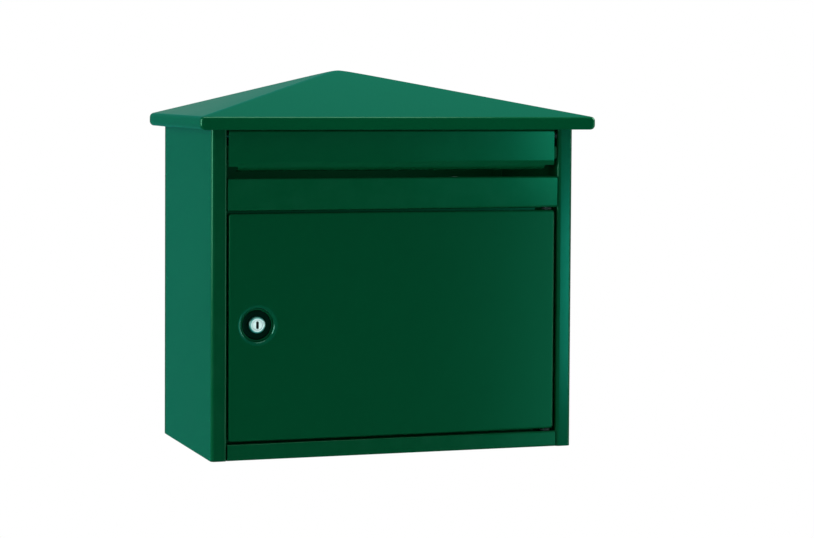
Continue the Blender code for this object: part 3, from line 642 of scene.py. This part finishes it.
def makeSidePanel(word, side, s):
    node = f"{word}_side_panel"
    low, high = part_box(node)
    edge = max(abs(low[0]), abs(high[0]))
    front, back = low[1], high[1]
    inner = edge - s["stile"]
    path = [(edge - s["backFlange"], back), (edge, back), (edge, front),
            (inner, front), (inner, front + s["returnDepth"])]
    folded = foldedOutline(path, [sheet, s["cornerBend"], s["stileBend"]], 8)
    outline = [(p[0] * side, p[1]) for p in folded]
    r = s["footRound"]

    def lift(p):
        near = math.hypot(abs(p[0]) - edge, p[1] - front)
        return 0.0 if near >= r else r - math.sqrt(r * r - (r - near) ** 2)

    panel = linkMesh(f"{word}SidePanel", extruded(outline, "Z", low[2], high[2], lift))
    rod = middleOf("flap_hinge_rod")
    carve(panel, [drill(fixedHole, -2 * sheet, 2 * sheet, (side * inner, rod[1], rod[2]), "X")])
    finishPiece(panel, node)


for word, side in sides:
    makeSidePanel(word, side, sidePanels)
print("stage: side panels made")

# bottom panel
bottomPanel = {
    "railHeight": 0.0157,
    "stopLip": 0.007,
    "backFlange": 0.012,
    "bend": 0.0009,
    "notchTop": 0.04,        # height that the stiles' returns need free
}
channelDepth = 0.0123        # from the front to the lip behind the door
notchReach = 0.0095  # from the door's hinge to the end of its notch in a stop lip
notchTall = 0.02
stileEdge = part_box("right_side_panel")[1][0] - sidePanels["stile"]
hingeX, hingeY = middleOf("door_hinge_pin_upper")[:2]
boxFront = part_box("left_side_panel")[0][1]
returnBack = boxFront + sidePanels["returnDepth"]
channelBack = boxFront + channelDepth


def stileNotches(half, front, bottom, top):
    # room for the stiles' returns at both front corners
    tools = []
    for side in (-1, 1):
        x0, x1 = sorted((side * (stileEdge - gap), side * (half + sheet)))
        tools.append(block((x0, front - sheet, bottom), (x1, returnBack + gap, top)))
    return tools


def hingeNotch(right, bottom, top):
    # room in a stop lip for the door's hinge corner
    near, far = channelBack - sheet / 2, channelBack + 3 * sheet
    return block((hingeX - notchReach, near, bottom), (right, far, top))


def makeBottomPanel(b):
    low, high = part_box("bottom_panel")
    floor, half = low[2], high[0]
    rail = floor + b["railHeight"]
    path = [(high[1], floor + b["backFlange"]), (high[1], floor), (low[1], floor), (low[1], rail),
            (channelBack, rail), (channelBack, rail + b["stopLip"])]
    panel = foldedSheet("bottomPanel", path, b["bend"], "X", -half, half)
    tools = stileNotches(half, low[1], floor - sheet, floor + b["notchTop"])
    tools.append(hingeNotch(half, rail + gap, rail + notchTall))
    tools.append(drill(fixedHole, -2 * sheet, sheet, (hingeX, hingeY, rail), "Z"))
    carve(panel, tools)
    finishPiece(panel, "bottom_panel")


makeBottomPanel(bottomPanel)

# fixed band under the slot
slotSill = {
    "bottom": 0.2396,        # above the underside of the box
    "top": 0.2705,
    "stopLip": 0.007,
    "turnDown": 0.008,
    "bend": 0.0010,
}


def makeSlotSill(s):
    bottom, top = boxFloor + s["bottom"], boxFloor + s["top"]
    low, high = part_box("slot_sill_panel")
    path = [(channelBack, bottom - s["stopLip"]), (channelBack, bottom), (low[1], bottom), (low[1], top),
            (channelBack, top), (channelBack, top - s["turnDown"])]
    band = foldedSheet("slotSill", path, s["bend"], "X", low[0], high[0], 7)
    notch = hingeNotch(high[0] + sheet, bottom - notchTall, bottom - gap)
    carve(band, [notch, drill(fixedHole, -sheet, 2 * sheet, (hingeX, hingeY, bottom), "Z")])
    finishPiece(band, "slot_sill_panel")


makeSlotSill(slotSill)
print("stage: bottom panel and slot sill made")

# letter flap
letterFlap = {
    "lipRadius": 0.009,      # inner radius of the curling lower lip
    "lipEnd": 0.0002,        # straight piece after the curl
    "topTurn": 0.0025,
    "topBend": 0.0010,
    "notchWidth": 0.0095,
    "notchHeight": 0.005,
    "notchRound": 0.0015,
    "notchDepth": 0.02,
    "notchSpare": 0.004,     # how far the cut runs past the flap's edges
    "earDepth": 0.009,
    "earHeight": 0.0138,
    "earInset": 0.0005,
    "earCorner": 0.0018,
}


def makeLetterFlap(f):
    low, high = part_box("flap_panel")
    front, bottom, top = low[1], low[2], high[2]
    curlBack = front + f["lipRadius"] + sheet + f["lipEnd"]
    path = [(curlBack, bottom), (front, bottom), (front, top), (front + f["topTurn"], top)]
    flap = foldedSheet("letterFlap", path, [f["lipRadius"], f["topBend"]], "X", low[0], high[0], 8)
    rod = middleOf("flap_hinge_rod")
    spare = sheet + f["notchSpare"]
    earTop = top - sheet
    ears, cuts = [], []
    for end, side in ((low[0], 1), (high[0], -1)):
        x0, x1 = sorted((end + side * f["notchWidth"], end - side * spare))
        notch = roundedOutline(x0, x1, bottom - spare, bottom + f["notchHeight"], f["notchRound"])
        cuts.append(extruded(notch, "Y", front - sheet, front + f["notchDepth"]))
        x0, x1 = sorted((end + side * f["earInset"], end + side * (f["earInset"] + sheet)))
        ear = roundedOutline(front + sheet / 2, front + sheet + f["earDepth"],
                             earTop - f["earHeight"], earTop + sheet / 2, f["earCorner"], 5)
        ears.append(extruded(ear, "X", x0, x1))
        cuts.append(drill(turningHole, -sheet, 2 * sheet, (x0, rod[1], rod[2]), "X", 40))
    carve(flap, ears, "UNION")
    carve(flap, cuts)
    finishPiece(flap, "flap_panel", body="flap")


makeLetterFlap(letterFlap)
print("stage: letter flap made")

# door
door = {
    "returnDepth": 0.012,
    "corner": 0.0030,        # corner radius seen from the front
    "cornerShare": 0.9,      # how fast that radius shrinks inwards
    "bend": 0.0011,          # inner radius of the folded edges
    "edgeBreak": 0.0002,
    "dishRadius": 0.0156,
    "dishLip": 0.0040,       # how far the lip rolls in
    "dishDepth": 0.007,
    "dishTaper": 0.0012,
    "dishFillet": 0.0022,
    "barrelHole": 0.0063,
    "holeBreak": 0.0003,
    "paintedShadeFrom": 0.0016,      # above the floor of the dish, how high the painted shade reaches
    "rimFrom": 0.000005,     # below the face of the door
}
lockLow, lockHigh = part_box("lock_housing")
lockX, lockZ = middleOf("lock_housing")[::2]


def dishProfile(d, front):
    lip, fillet = d["dishLip"], d["dishFillet"]
    outer, wall = d["dishRadius"] + lip, d["dishRadius"] - d["dishTaper"]
    floor, hole, small = front + d["dishDepth"], d["barrelHole"], d["holeBreak"]
    points = [(outer - lip * s, front + lip * (1 - c)) for s, c in quarterArc()]  # rolled lip
    points += [(wall - fillet * (1 - c), floor - fillet * (1 - s)) for s, c in quarterArc()]
    back = floor + sheet
    points += [(hole + small, floor), (hole, floor + small), (hole, back)]
    lip -= sheet  # the back of the sheet
    fillet += sheet
    wall += sheet
    outer = d["dishRadius"] + sheet + lip
    points += [(wall - fillet * (1 - c), back - fillet * (1 - s)) for s, c in quarterArc()[::-1]]
    points += [(outer - lip * s, front + sheet + lip * (1 - c)) for s, c in quarterArc()[::-1]]
    return points


def trayProfile(d, front):
    # distance from the door's outline, and y, from the inner face round the folded edge
    bend, outer = d["bend"], d["bend"] + sheet
    back = front + d["returnDepth"]
    side = back - d["edgeBreak"]
    spots = [(sheet + bend * (1 - c), front + outer - bend * s) for s, c in quarterArc()[::-1]]
    spots += [(sheet, side), (sheet * 0.75, back), (sheet * 0.25, back), (0, side)]
    spots += [(outer * (1 - c), front + outer * (1 - s)) for s, c in quarterArc()]
    return spots


def makeDoor(d):
    low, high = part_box("door_panel")
    front = low[1]
    bm = bmesh.new()
    trays = []
    for n, y in trayProfile(d, front):
        corner = d["corner"] - n * d["cornerShare"]
        outline = roundedOutline(low[0] + n, high[0] - n, low[2] + n, high[2] - n, corner)
        trays.append([bm.verts.new((x, y, z)) for x, z in outline])
    rings = turnedRings(dishProfile(d, front), (lockX, 0, lockZ), "Y", 72)
    dish = [[bm.verts.new(p) for p in ring] for ring in rings]
    joinRings(bm, trays)
    joinRings(bm, dish)
    for plate, hole in ((trays[-1], dish[0]), (trays[0], dish[-1])):
        edges = []
        for loop in (plate, hole):
            for i in range(len(loop)):
                edges.append(bm.edges.get((loop[i], loop[(i + 1) % len(loop)])))
        bmesh.ops.triangle_fill(bm, edges=edges, use_beauty=True)
    panel = linkMesh("door", bm)
    ends = [(hingeX, hingeY, low[2]), (hingeX, hingeY, high[2])]
    carve(panel, [drill(turningHole, -2 * sheet, 2 * sheet, end, "Z", 40) for end in ends])
    finishPiece(panel, "door_panel", body="door", edge=0, sharp=40)
    panel.data.materials.append(darkDish)
    panel.data.materials.append(glossyRim)
    floor = front + d["dishDepth"]
    # painted shade on the dish's floor and fillet; the lip takes the glossier copy of the paint
    for face in panel.data.polygons:
        x, y, z = face.center
        away = math.hypot(x - lockX, z - lockZ)
        if away < d["dishRadius"] and floor - d["paintedShadeFrom"] < y < floor + sheet / 2:
            face.material_index = 1
        elif away < d["dishRadius"] + d["dishLip"] and front + d["rimFrom"] < y < front + d["dishLip"]:
            face.material_index = 2


makeDoor(door)
print("stage: door made")

# lock
lock = {
    "headRound": 0.0020,
    "edgeBreak": 0.0003,
    "boreBreak": 0.0002,
    "threadEnd": 0.0004,     # plain end of the barrel
    "faceBreak": 0.0001,
    "plugRadius": 0.0050,
    "plugGap": 0.00008,
    "keywayWidth": 0.0025,
    "keywayHeight": 0.0074,
    "keywayDepth": 0.009,
    "barrelRadius": 0.006,
    "threadStart": 0.0018,
    "threadPitch": 0.00075,
    "threadDepth": 0.00022,
    "squareEnd": 0.0025,     # half the width of the plug's square end
    "screwBore": 0.0017,
    "nutFlats": 0.017,
    "nutBore": 0.0063,
    "camRoot": 0.007,        # radius around the plug
    "camTip": 0.005,
    "camReach": 0.0205,
    "camHole": 0.0028,       # half the width of its square hole
}
nutChamfer = {
    "narrow": 0.47,          # of the nut's width across its flats
    "wide": 0.0001,          # past its corners
    "share": 0.62,
}


def squareBar(half, start, end):
    return block((lockX - half, start, lockZ - half), (lockX + half, end, lockZ + half))


def hexNut(name, axis, x, other, start, end, flats, bore):
    corner = flats / 2 / math.cos(math.pi / 6)
    turn = math.pi / 6 if axis == "Y" else 0.0
    base = (x, 0, other) if axis == "Y" else (x, other, 0)
    angles = [math.tau * i / 6 + turn for i in range(6)]
    outline = [(x + corner * math.cos(a), other + corner * math.sin(a)) for a in angles]
    nut = linkMesh(name, extruded(outline, axis, start, end))
    cut = (corner - flats / 2) * nutChamfer["share"]
    narrow, wide = flats * nutChamfer["narrow"], corner + nutChamfer["wide"]
    barrel = [(narrow, start), (wide, start + cut), (wide, end - cut), (narrow, end)]
    carve(nut, [turned(barrel, base, axis, 48)], "INTERSECT")
    carve(nut, [drill(bore, start - sheet, end + sheet, base, axis, 40)])
    return nut


def makeLockHousing(k, axis):
    front, back = lockLow[1], lockHigh[1]
    head = lockHigh[0] - lockX
    dishFloor = boxFront + door["dishDepth"] - gap
    bore = k["plugRadius"] + k["plugGap"]
    barrel, pitch = k["barrelRadius"], k["threadPitch"]
    r, small, thin = k["headRound"], k["edgeBreak"], k["boreBreak"]
    profile = [(bore, back - thin), (bore, front + small), (bore + thin, front)]
    profile += [(head - r + r * s, front + r * (1 - c)) for s, c in quarterArc()]
    profile += [(head, dishFloor - small), (head - small, dishFloor), (barrel, dishFloor)]
    y = dishFloor + k["threadStart"]
    while y < back - pitch:
        profile.append((barrel, y))
        profile.append((barrel - k["threadDepth"], y + pitch / 2))
        y += pitch
    profile += [(barrel, back - k["threadEnd"]), (barrel - small, back), (bore + thin, back)]
    housing = linkMesh("lockHousing", turned(profile, axis, "Y", 96, closed=True))
    finishPiece(housing, "lock_housing", "chrome", "door", edge=0, sharp=30)


def makeLockPlug(k, axis):
    low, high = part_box("lock_plug")
    front, back = low[1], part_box("lock_cam")[0][1] - gap
    radius, small, thin = k["plugRadius"], k["edgeBreak"], k["boreBreak"]
    edge = k["faceBreak"]
    profile = [(radius - small, front + edge), (radius, front + small + edge),
               (radius, back - thin), (radius - thin, back)]
    plug = linkMesh("lockPlug", turned(profile, axis, "Y", 96))
    carve(plug, [squareBar(k["squareEnd"], back - sheet, high[1])], "UNION")
    w, h = k["keywayWidth"] / 2, k["keywayHeight"] / 2
    slot = roundedOutline(lockX - w, lockX + w, lockZ - h, lockZ + h, w * 0.95)
    slotEnd = front + k["keywayDepth"]
    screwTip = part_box("cam_screw")[0][1]
    cuts = [extruded(slot, "Y", front - sheet, slotEnd),
            drill(k["screwBore"], screwTip - gap, high[1] + sheet, axis, "Y")]
    carve(plug, cuts)
    finishPiece(plug, "lock_plug", "chrome", "lock_plug", edge=0.00012)
    plug.data.materials.append(finishes["nylon"][0])  # painted shade: the keyway's walls take the black nylon finish to stand for the shade inside it
    for face in plug.data.polygons:
        x, y, z = face.center
        inShadedKeyway = abs(x - lockX) < w + edge and abs(z - lockZ) < h + edge
        if inShadedKeyway and front + small < y < slotEnd + edge:
            face.material_index = 1


def makeLockCam(k):
    low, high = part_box("lock_cam")
    root, tip, reach = k["camRoot"], k["camTip"], k["camReach"]
    lean = math.asin((root - tip) / reach)
    outline = []
    steps = 24
    for radius, z, start, turn in ((root, lockZ, -lean, math.pi + 2 * lean),
                                   (tip, lockZ - reach, math.pi + lean, math.pi - 2 * lean)):
        for i in range(steps + 1):
            a = start + turn * i / steps
            outline.append((lockX + radius * math.cos(a), z + radius * math.sin(a)))
    cam = linkMesh("lockCam", extruded(outline, "Y", low[1], high[1]))
    carve(cam, [squareBar(k["camHole"], low[1] - sheet, high[1] + sheet)])
    finishPiece(cam, "lock_cam", "zinc", "lock_plug", edge=0.00018)


def makeLock(k):
    axis = (lockX, 0, lockZ)
    makeLockHousing(k, axis)
    makeLockPlug(k, axis)
    low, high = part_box("lock_nut")
    nut = hexNut("lockNut", "Y", lockX, lockZ, low[1], high[1], k["nutFlats"], k["nutBore"])
    finishPiece(nut, "lock_nut", "zinc", "door", edge=0.0001)
    makeLockCam(k)


makeLock(lock)
print("stage: lock made")

# screws and nuts
fasteners = {
    "crossWidth": 0.00085,
    "crossLength": 0.0040,
    "crossHead": 0.0035,     # head radius that this length is meant for
    "crossDepth": 0.0012,
    "threadStart": 0.0008,
    "threadPitch": 0.0007,
    "threadDepth": 0.0002,
    "headHeight": 0.0022,
    "dome": 0.55,            # share of the head's height
    "edgeBreak": 0.0002,
    "pointLength": 0.0005,
    "pointShare": 0.7,       # of the shank's radius
    "roofScrew": {"shank": 0.0019, "head": 0.0035},
    "camScrew": {"shank": 0.0014, "head": 0.0042},
    "roofNutFlats": 0.007,
    "roofNutBore": 0.0022,
}
roofScrewWords = [f"{word}_{end}" for word, side in sides for end in ("front", "back")]


def panHeadScrew(name, node, body, axis, base, headTop, tip, size, f):
    way = 1 if tip > headTop else -1
    rise, pitch = f["headHeight"], f["threadPitch"]
    shank, head = size["shank"], size["head"]
    under = headTop + way * rise
    dome = way * rise * f["dome"]
    profile = [(max(head * s, poleRadius), headTop + dome * (1 - c)) for s, c in quarterArc()]
    small = f["edgeBreak"]
    profile += [(head, under - way * small), (head - small, under), (shank, under)]
    y = under + way * f["threadStart"]
    while abs(y - under) < abs(tip - under) - 2 * pitch:
        profile.append((shank, y))
        profile.append((shank - f["threadDepth"], y + way * pitch / 2))
        y += way * pitch
    profile += [(shank, tip - way * f["pointLength"]), (shank * f["pointShare"], tip)]
    screw = linkMesh(name, turned(profile, base, axis, 48))
    length, width = f["crossLength"] / 2 * head / f["crossHead"], f["crossWidth"] / 2
    start, end = sorted((headTop - way * sheet, headTop + way * f["crossDepth"]))
    tools = []
    for a, b in ((length, width), (width, length)):
        if axis == "Z":
            tools.append(block((base[0] - a, base[1] - b, start), (base[0] + a, base[1] + b, end)))
        else:
            tools.append(block((base[0] - a, start, base[2] - b), (base[0] + a, end, base[2] + b)))
    carve(screw, tools)
    finishPiece(screw, node, "zinc", body, edge=0, sharp=30)


def makeScrews(f):
    for word in roofScrewWords:
        node = f"roof_screw_{word}"
        low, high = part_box(node)
        x, y = middleOf(node)[:2]
        panHeadScrew(f"roofScrew_{word}", node, "cabinet", "Z", (x, y, 0), low[2], high[2], f["roofScrew"], f)
        node = f"roof_nut_{word}"
        low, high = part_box(node)
        nut = hexNut(f"roofNut_{word}", "Z", x, y, low[2], high[2], f["roofNutFlats"], f["roofNutBore"])
        finishPiece(nut, node, "zinc", edge=0)
    low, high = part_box("cam_screw")
    axis = (lockX, 0, lockZ)
    panHeadScrew("camScrew", "cam_screw", "lock_plug", "Y", axis, high[1], low[1], f["camScrew"], f)


makeScrews(fasteners)

# pins, rod, washers and clips
hingeParts = {
    "pinHead": 0.0036,
    "pinHeadHeight": 0.0015,
    "pinDome": 0.0011,
    "pinEdge": 0.0001,
    "pointing": 0.0005,      # chamfer at a pin's or the rod's end
    "ringBreak": 0.00024,    # chamfer on a ring's outer edges, half of it inside
}


def plainRing(name, node, axis, finish, h):
    low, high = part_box(node)
    n = "XYZ".index(axis)
    centre = middleOf(node)
    centre[n] = 0
    other = (n + 1) % 3
    inner, outer = fixedHole, (high[other] - low[other]) / 2
    start, end = low[n], high[n]
    r = h["ringBreak"]
    profile = [(inner, start + r / 2), (inner + r / 2, start), (outer - r, start), (outer, start + r),
               (outer, end - r), (outer - r, end), (inner + r / 2, end), (inner, end - r / 2)]
    ring = linkMesh(name, turned(profile, centre, axis, 56, closed=True))
    finishPiece(ring, node, finish, edge=0, sharp=50)


def makeHingePin(word, way, h):
    node = f"door_hinge_pin_{word}"
    low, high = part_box(node)
    top, tip = (low[2], high[2]) if way < 0 else (high[2], low[2])
    head, point = h["pinHead"], h["pointing"]
    under = top - way * h["pinHeadHeight"]
    profile = [(max(head * s, poleRadius), top - way * h["pinDome"] * (1 - c)) for s, c in quarterArc(6)]
    edge = h["pinEdge"]
    profile += [(head, under + way * edge), (head - 2 * edge, under), (pinRadius, under),
                (pinRadius, tip + way * point), (pinRadius - point, tip)]
    pin = linkMesh(f"doorHingePin_{word}", turned(profile, (hingeX, hingeY, 0), "Z", 48))
    finishPiece(pin, node, "zinc", edge=0, sharp=40)


def makeFlapRod(h):
    low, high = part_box("flap_hinge_rod")
    point = h["pointing"]
    profile = [(pinRadius - point, low[0]), (pinRadius, low[0] + point),
               (pinRadius, high[0] - point), (pinRadius - point, high[0])]
    centre = [0] + middleOf("flap_hinge_rod")[1:]
    rod = linkMesh("flapHingeRod", turned(profile, centre, "X", 40))
    finishPiece(rod, "flap_hinge_rod", "zinc", edge=0, sharp=40)


def makeHingeParts(h):
    for word, way in (("lower", -1), ("upper", 1)):
        makeHingePin(word, way, h)
        plainRing(f"doorWasher_{word}", f"door_washer_{word}", "Z", "nylon", h)
        plainRing(f"doorHingeClip_{word}", f"door_hinge_clip_{word}", "Z", "zinc", h)
    makeFlapRod(h)
    plainRing("flapRodSpacer", "flap_rod_spacer", "X", "nylon", h)
    for word, side in sides:
        plainRing(f"flapRodClip_{word}", f"flap_rod_clip_{word}", "X", "zinc", h)


makeHingeParts(hingeParts)
print("stage: fasteners and hinge parts made")

# hidden sheet parts
innerSheets = {
    "bend": 0.0010,
    "bracketFlange": 0.012,
    "wallHoleRadius": 0.0035,
    "wallHoles": (0.130, 0.120),       # half spacing across and up
    "screwHole": 0.0022,
}


def screwHole(word, start, z, s):
    x, y = middleOf(f"roof_screw_{word}")[:2]
    return drill(s["screwHole"], start, 2 * sheet, (x, y, z), "Z")


def makeBackPanel(s):
    panel = linkMesh("backPanel", block(*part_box("back_panel")))
    across, up = s["wallHoles"]
    tools = []
    for x in (-across, across):
        for z in (-up, up):
            tools.append(drill(s["wallHoleRadius"], -3 * sheet, sheet, (x, 0, z), "Y", 40))
    carve(panel, tools)
    finishPiece(panel, "back_panel")


def makeTopPlate(s):
    low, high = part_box("top_plate")
    path = [(low[0], low[2]), (low[0], high[2]), (high[0], high[2]), (high[0], low[2])]
    plate = foldedSheet("topPlate", path, s["bend"], "Y", low[1], high[1])
    tools = stileNotches(high[0], low[1], low[2] - sheet, high[2] + sheet)
    tools += [screwHole(word, -3 * sheet, high[2], s) for word in roofScrewWords]
    carve(plate, tools)
    finishPiece(plate, "top_plate")


def makeRoofBracket(word, side, s):
    node = f"roof_bracket_{word}"
    low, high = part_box(node)
    outer = max(abs(low[0]), abs(high[0]))
    inner = outer - s["bracketFlange"]
    roofLow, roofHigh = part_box("roof_cover")
    slope = (roofHigh[2] - roofLow[2] - roof["fascia"]) / (roofHigh[0] - 2 * sheet)
    path = [(inner, high[2]), (outer, high[2] - slope * (outer - inner)), (outer, low[2]), (inner, low[2])]
    bracket = foldedSheet(f"roofBracket_{word}", path, s["bend"], "Y", low[1], high[1], side=side)
    carve(bracket, [screwHole(f"{word}_{end}", -sheet, low[2], s) for end in ("front", "back")])
    finishPiece(bracket, node, "zinc")


def makeInnerSheets(s):
    makeBackPanel(s)
    makeTopPlate(s)

    low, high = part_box("front_header")
    path = [(low[1], low[2]), (low[1], high[2]), (high[1], high[2])]
    header = foldedSheet("frontHeader", path, s["bend"], "X", low[0], high[0])
    finishPiece(header, "front_header")

    for word, side in sides:
        low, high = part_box(f"flap_stop_{word}")
        inner, outer = sorted((abs(low[0]), abs(high[0])))
        path = [(outer, high[1]), (outer, low[1]), (inner, low[1])]
        stop = foldedSheet(f"flapStop_{word}", path, s["bend"], "Z", low[2], high[2], side=side)
        finishPiece(stop, f"flap_stop_{word}")

    low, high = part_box("strike_bracket")
    path = [(high[0], low[1]), (low[0], low[1]), (low[0], high[1])]
    strike = foldedSheet("strikeBracket", path, s["bend"], "Z", low[2], high[2])
    finishPiece(strike, "strike_bracket")

    for word, side in sides:
        makeRoofBracket(word, side, s)


makeInnerSheets(innerSheets)
print("stage: inner sheet parts made")

# studio
studio = {
    "floorDrop": 0.55,
    "floorRadius": 2.2,
    "floorBase": (0.90, 0.90, 0.89, 1),
    "floorShade": (0.86, 0.86, 0.85, 1),
    "floorRoughness": 0.8,
    "fadeFrom": 0.9,         # where the floor starts to fade into the backdrop
    "fadeTo": 0.97,          # of the floor's radius
    "backdrop": (1.0, 1.0, 1.0, 1),
    "ambient": (0.95, 1.0, 0.97, 1),
    "mirrored": (0.09, 1.0, 0.88, 1),   # what the gloss of the paint picks up
    "ambientStrength": 0.265,
}
slotPieces = ["letterFlap", "slotSill"]
doorPieces = ["door", "bottomPanel"]
stilePieces = ["rightSidePanel"]
lockPieces = ["lockHousing", "lockPlug"]
lamps = {
    # place, aim, size, watts, colour, pieces that it lights (all of them if none is named)
    "topSoftbox": ((0.0, 0.0, 2.4), (0, -0.1, 0.1), (1.8, 1.6), 32, (0.9, 1, 0.95), []),
    "leftCard": ((-2.5, -0.2, 0.6), (0, -0.1, 0), (1.4, 1.6), 47, (0.8, 1, 0.97), []),
    "roofCard": ((1.85, -0.3, 1.15), (0, -0.1, 0.17), (2.0, 1.4), 68, (0.9, 1, 0.9), ["roofCover"]),
    "rightStrip": ((1.90, -1.05, 0.05), (0, -0.2, 0.0), (0.14, 1.5), 5, (0.9, 1, 0.95), []),
    "backCard": ((0.65, 3.0, 0.28), (0, 0, 0.15), (1.8, 0.55), 0.7, (1, 0.5, 0.42), []),
    "slotCard": ((1.38, -2.29, 0.22), (0.15, -0.196, 0.1), (0.6, 0.5), 8.4, (0.1, 1, 0.95), slotPieces),
    "doorCard": ((1.33, -2.29, -0.30), (0.15, -0.196, 0), (0.66, 1.0), 2.7, (0.2, 1, 0.95), doorPieces),
    "stileCard": ((1.30, -2.29, -0.21), (0.185, -0.196, 0), (0.5, 0.36), 3.3, (0.1, 1, 1.2), stilePieces),
    "lockGlint": ((0.62, -2.9, -0.30), (-0.139, -0.196, -0.035), (0.8, 0.8), 3.2, (1, 1, 1), lockPieces),
    "insideFill": ((0.0, -0.150, 0.10), (0, 0, 0.10), (0.30, 0.06), 0.06, (1, 1, 1), []),
}


def makeFloor(s):
    material, tree, shader = startMaterial("paleFloor")
    link = tree.links.new
    drift = placeGroup(tree, "drift", base=s["floorBase"], shade=s["floorShade"], scale=1.5,
                       fleckScale=90.0, fleck=0.1)
    link(drift, shader.inputs["Base Color"])
    shader.inputs["Roughness"].default_value = s["floorRoughness"]
    distance = addNode(tree, "VectorMath")
    distance.operation = "LENGTH"
    link(objectPlace(tree), distance.inputs[0])
    fade = addNode(tree, "MapRange")
    fade.interpolation_type = "SMOOTHSTEP"
    fade.inputs["From Min"].default_value = s["fadeFrom"]
    fade.inputs["From Max"].default_value = s["floorRadius"] * s["fadeTo"]
    link(distance.outputs["Value"], fade.inputs["Value"])
    path = addNode(tree, "LightPath")
    seen = mathNode(tree, "MULTIPLY", fade.outputs["Result"], path.outputs["Is Camera Ray"])
    glow = addNode(tree, "Emission")
    glow.inputs["Color"].default_value = s["backdrop"]
    blend = addNode(tree, "MixShader")
    link(seen, blend.inputs["Fac"])
    link(shader.outputs["BSDF"], blend.inputs[1])
    link(glow.outputs["Emission"], blend.inputs[2])
    link(blend.outputs["Shader"], tree.nodes["Material Output"].inputs["Surface"])
    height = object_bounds()[0][2] - s["floorDrop"]
    bm = bmesh.new()
    bmesh.ops.create_circle(bm, cap_ends=True, radius=s["floorRadius"], segments=96)
    floor = linkMesh("studioFloor", bm)
    floor.location.z = height
    floor.data.materials.append(material)
    floor.visible_glossy = False  # the paint mirrors the studio light alone
    floor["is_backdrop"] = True


def makeWorld(s):
    world = bpy.data.worlds.new("studioWorld")
    scene.world = world
    world.use_nodes = True
    tree = world.node_tree
    tree.nodes.clear()
    link = tree.links.new
    out = addNode(tree, "OutputWorld")
    seen = addNode(tree, "Background")
    seen.inputs["Color"].default_value = s["backdrop"]
    light = addNode(tree, "Background")
    light.inputs["Strength"].default_value = s["ambientStrength"]
    path = addNode(tree, "LightPath")
    around = mixColours(tree, path.outputs["Is Diffuse Ray"], s["mirrored"], s["ambient"])
    link(around, light.inputs["Color"])
    mix = addNode(tree, "MixShader")
    link(path.outputs["Is Camera Ray"], mix.inputs["Fac"])
    link(light.outputs[0], mix.inputs[1])
    link(seen.outputs[0], mix.inputs[2])
    link(mix.outputs[0], out.inputs["Surface"])


def makeLamp(name, place, aim, size, watts, colour, lit):
    data = bpy.data.lights.new(name, "AREA")
    data.shape = "RECTANGLE"
    data.size, data.size_y = size
    data.energy = watts
    data.color = colour
    lamp = bpy.data.objects.new(name, data)
    scene.collection.objects.link(lamp)
    lamp.location = place
    lamp.rotation_mode = "QUATERNION"
    lamp.rotation_quaternion = (Vector(aim) - Vector(place)).to_track_quat("-Z", "Y")
    lamp.visible_camera = False
    lamp.visible_glossy = name != "insideFill"  # no glare on the back panel
    if lit:
        group = bpy.data.collections.new(f"{name}Pieces")
        for piece in lit:
            group.objects.link(bpy.data.objects[piece])
        lamp.light_linking.receiver_collection = group


makeFloor(studio)
makeWorld(studio)
for name, values in lamps.items():
    makeLamp(name, *values)
scene.view_settings.view_transform = "Standard"
scene.view_settings.look = "None"
print("stage: studio made")
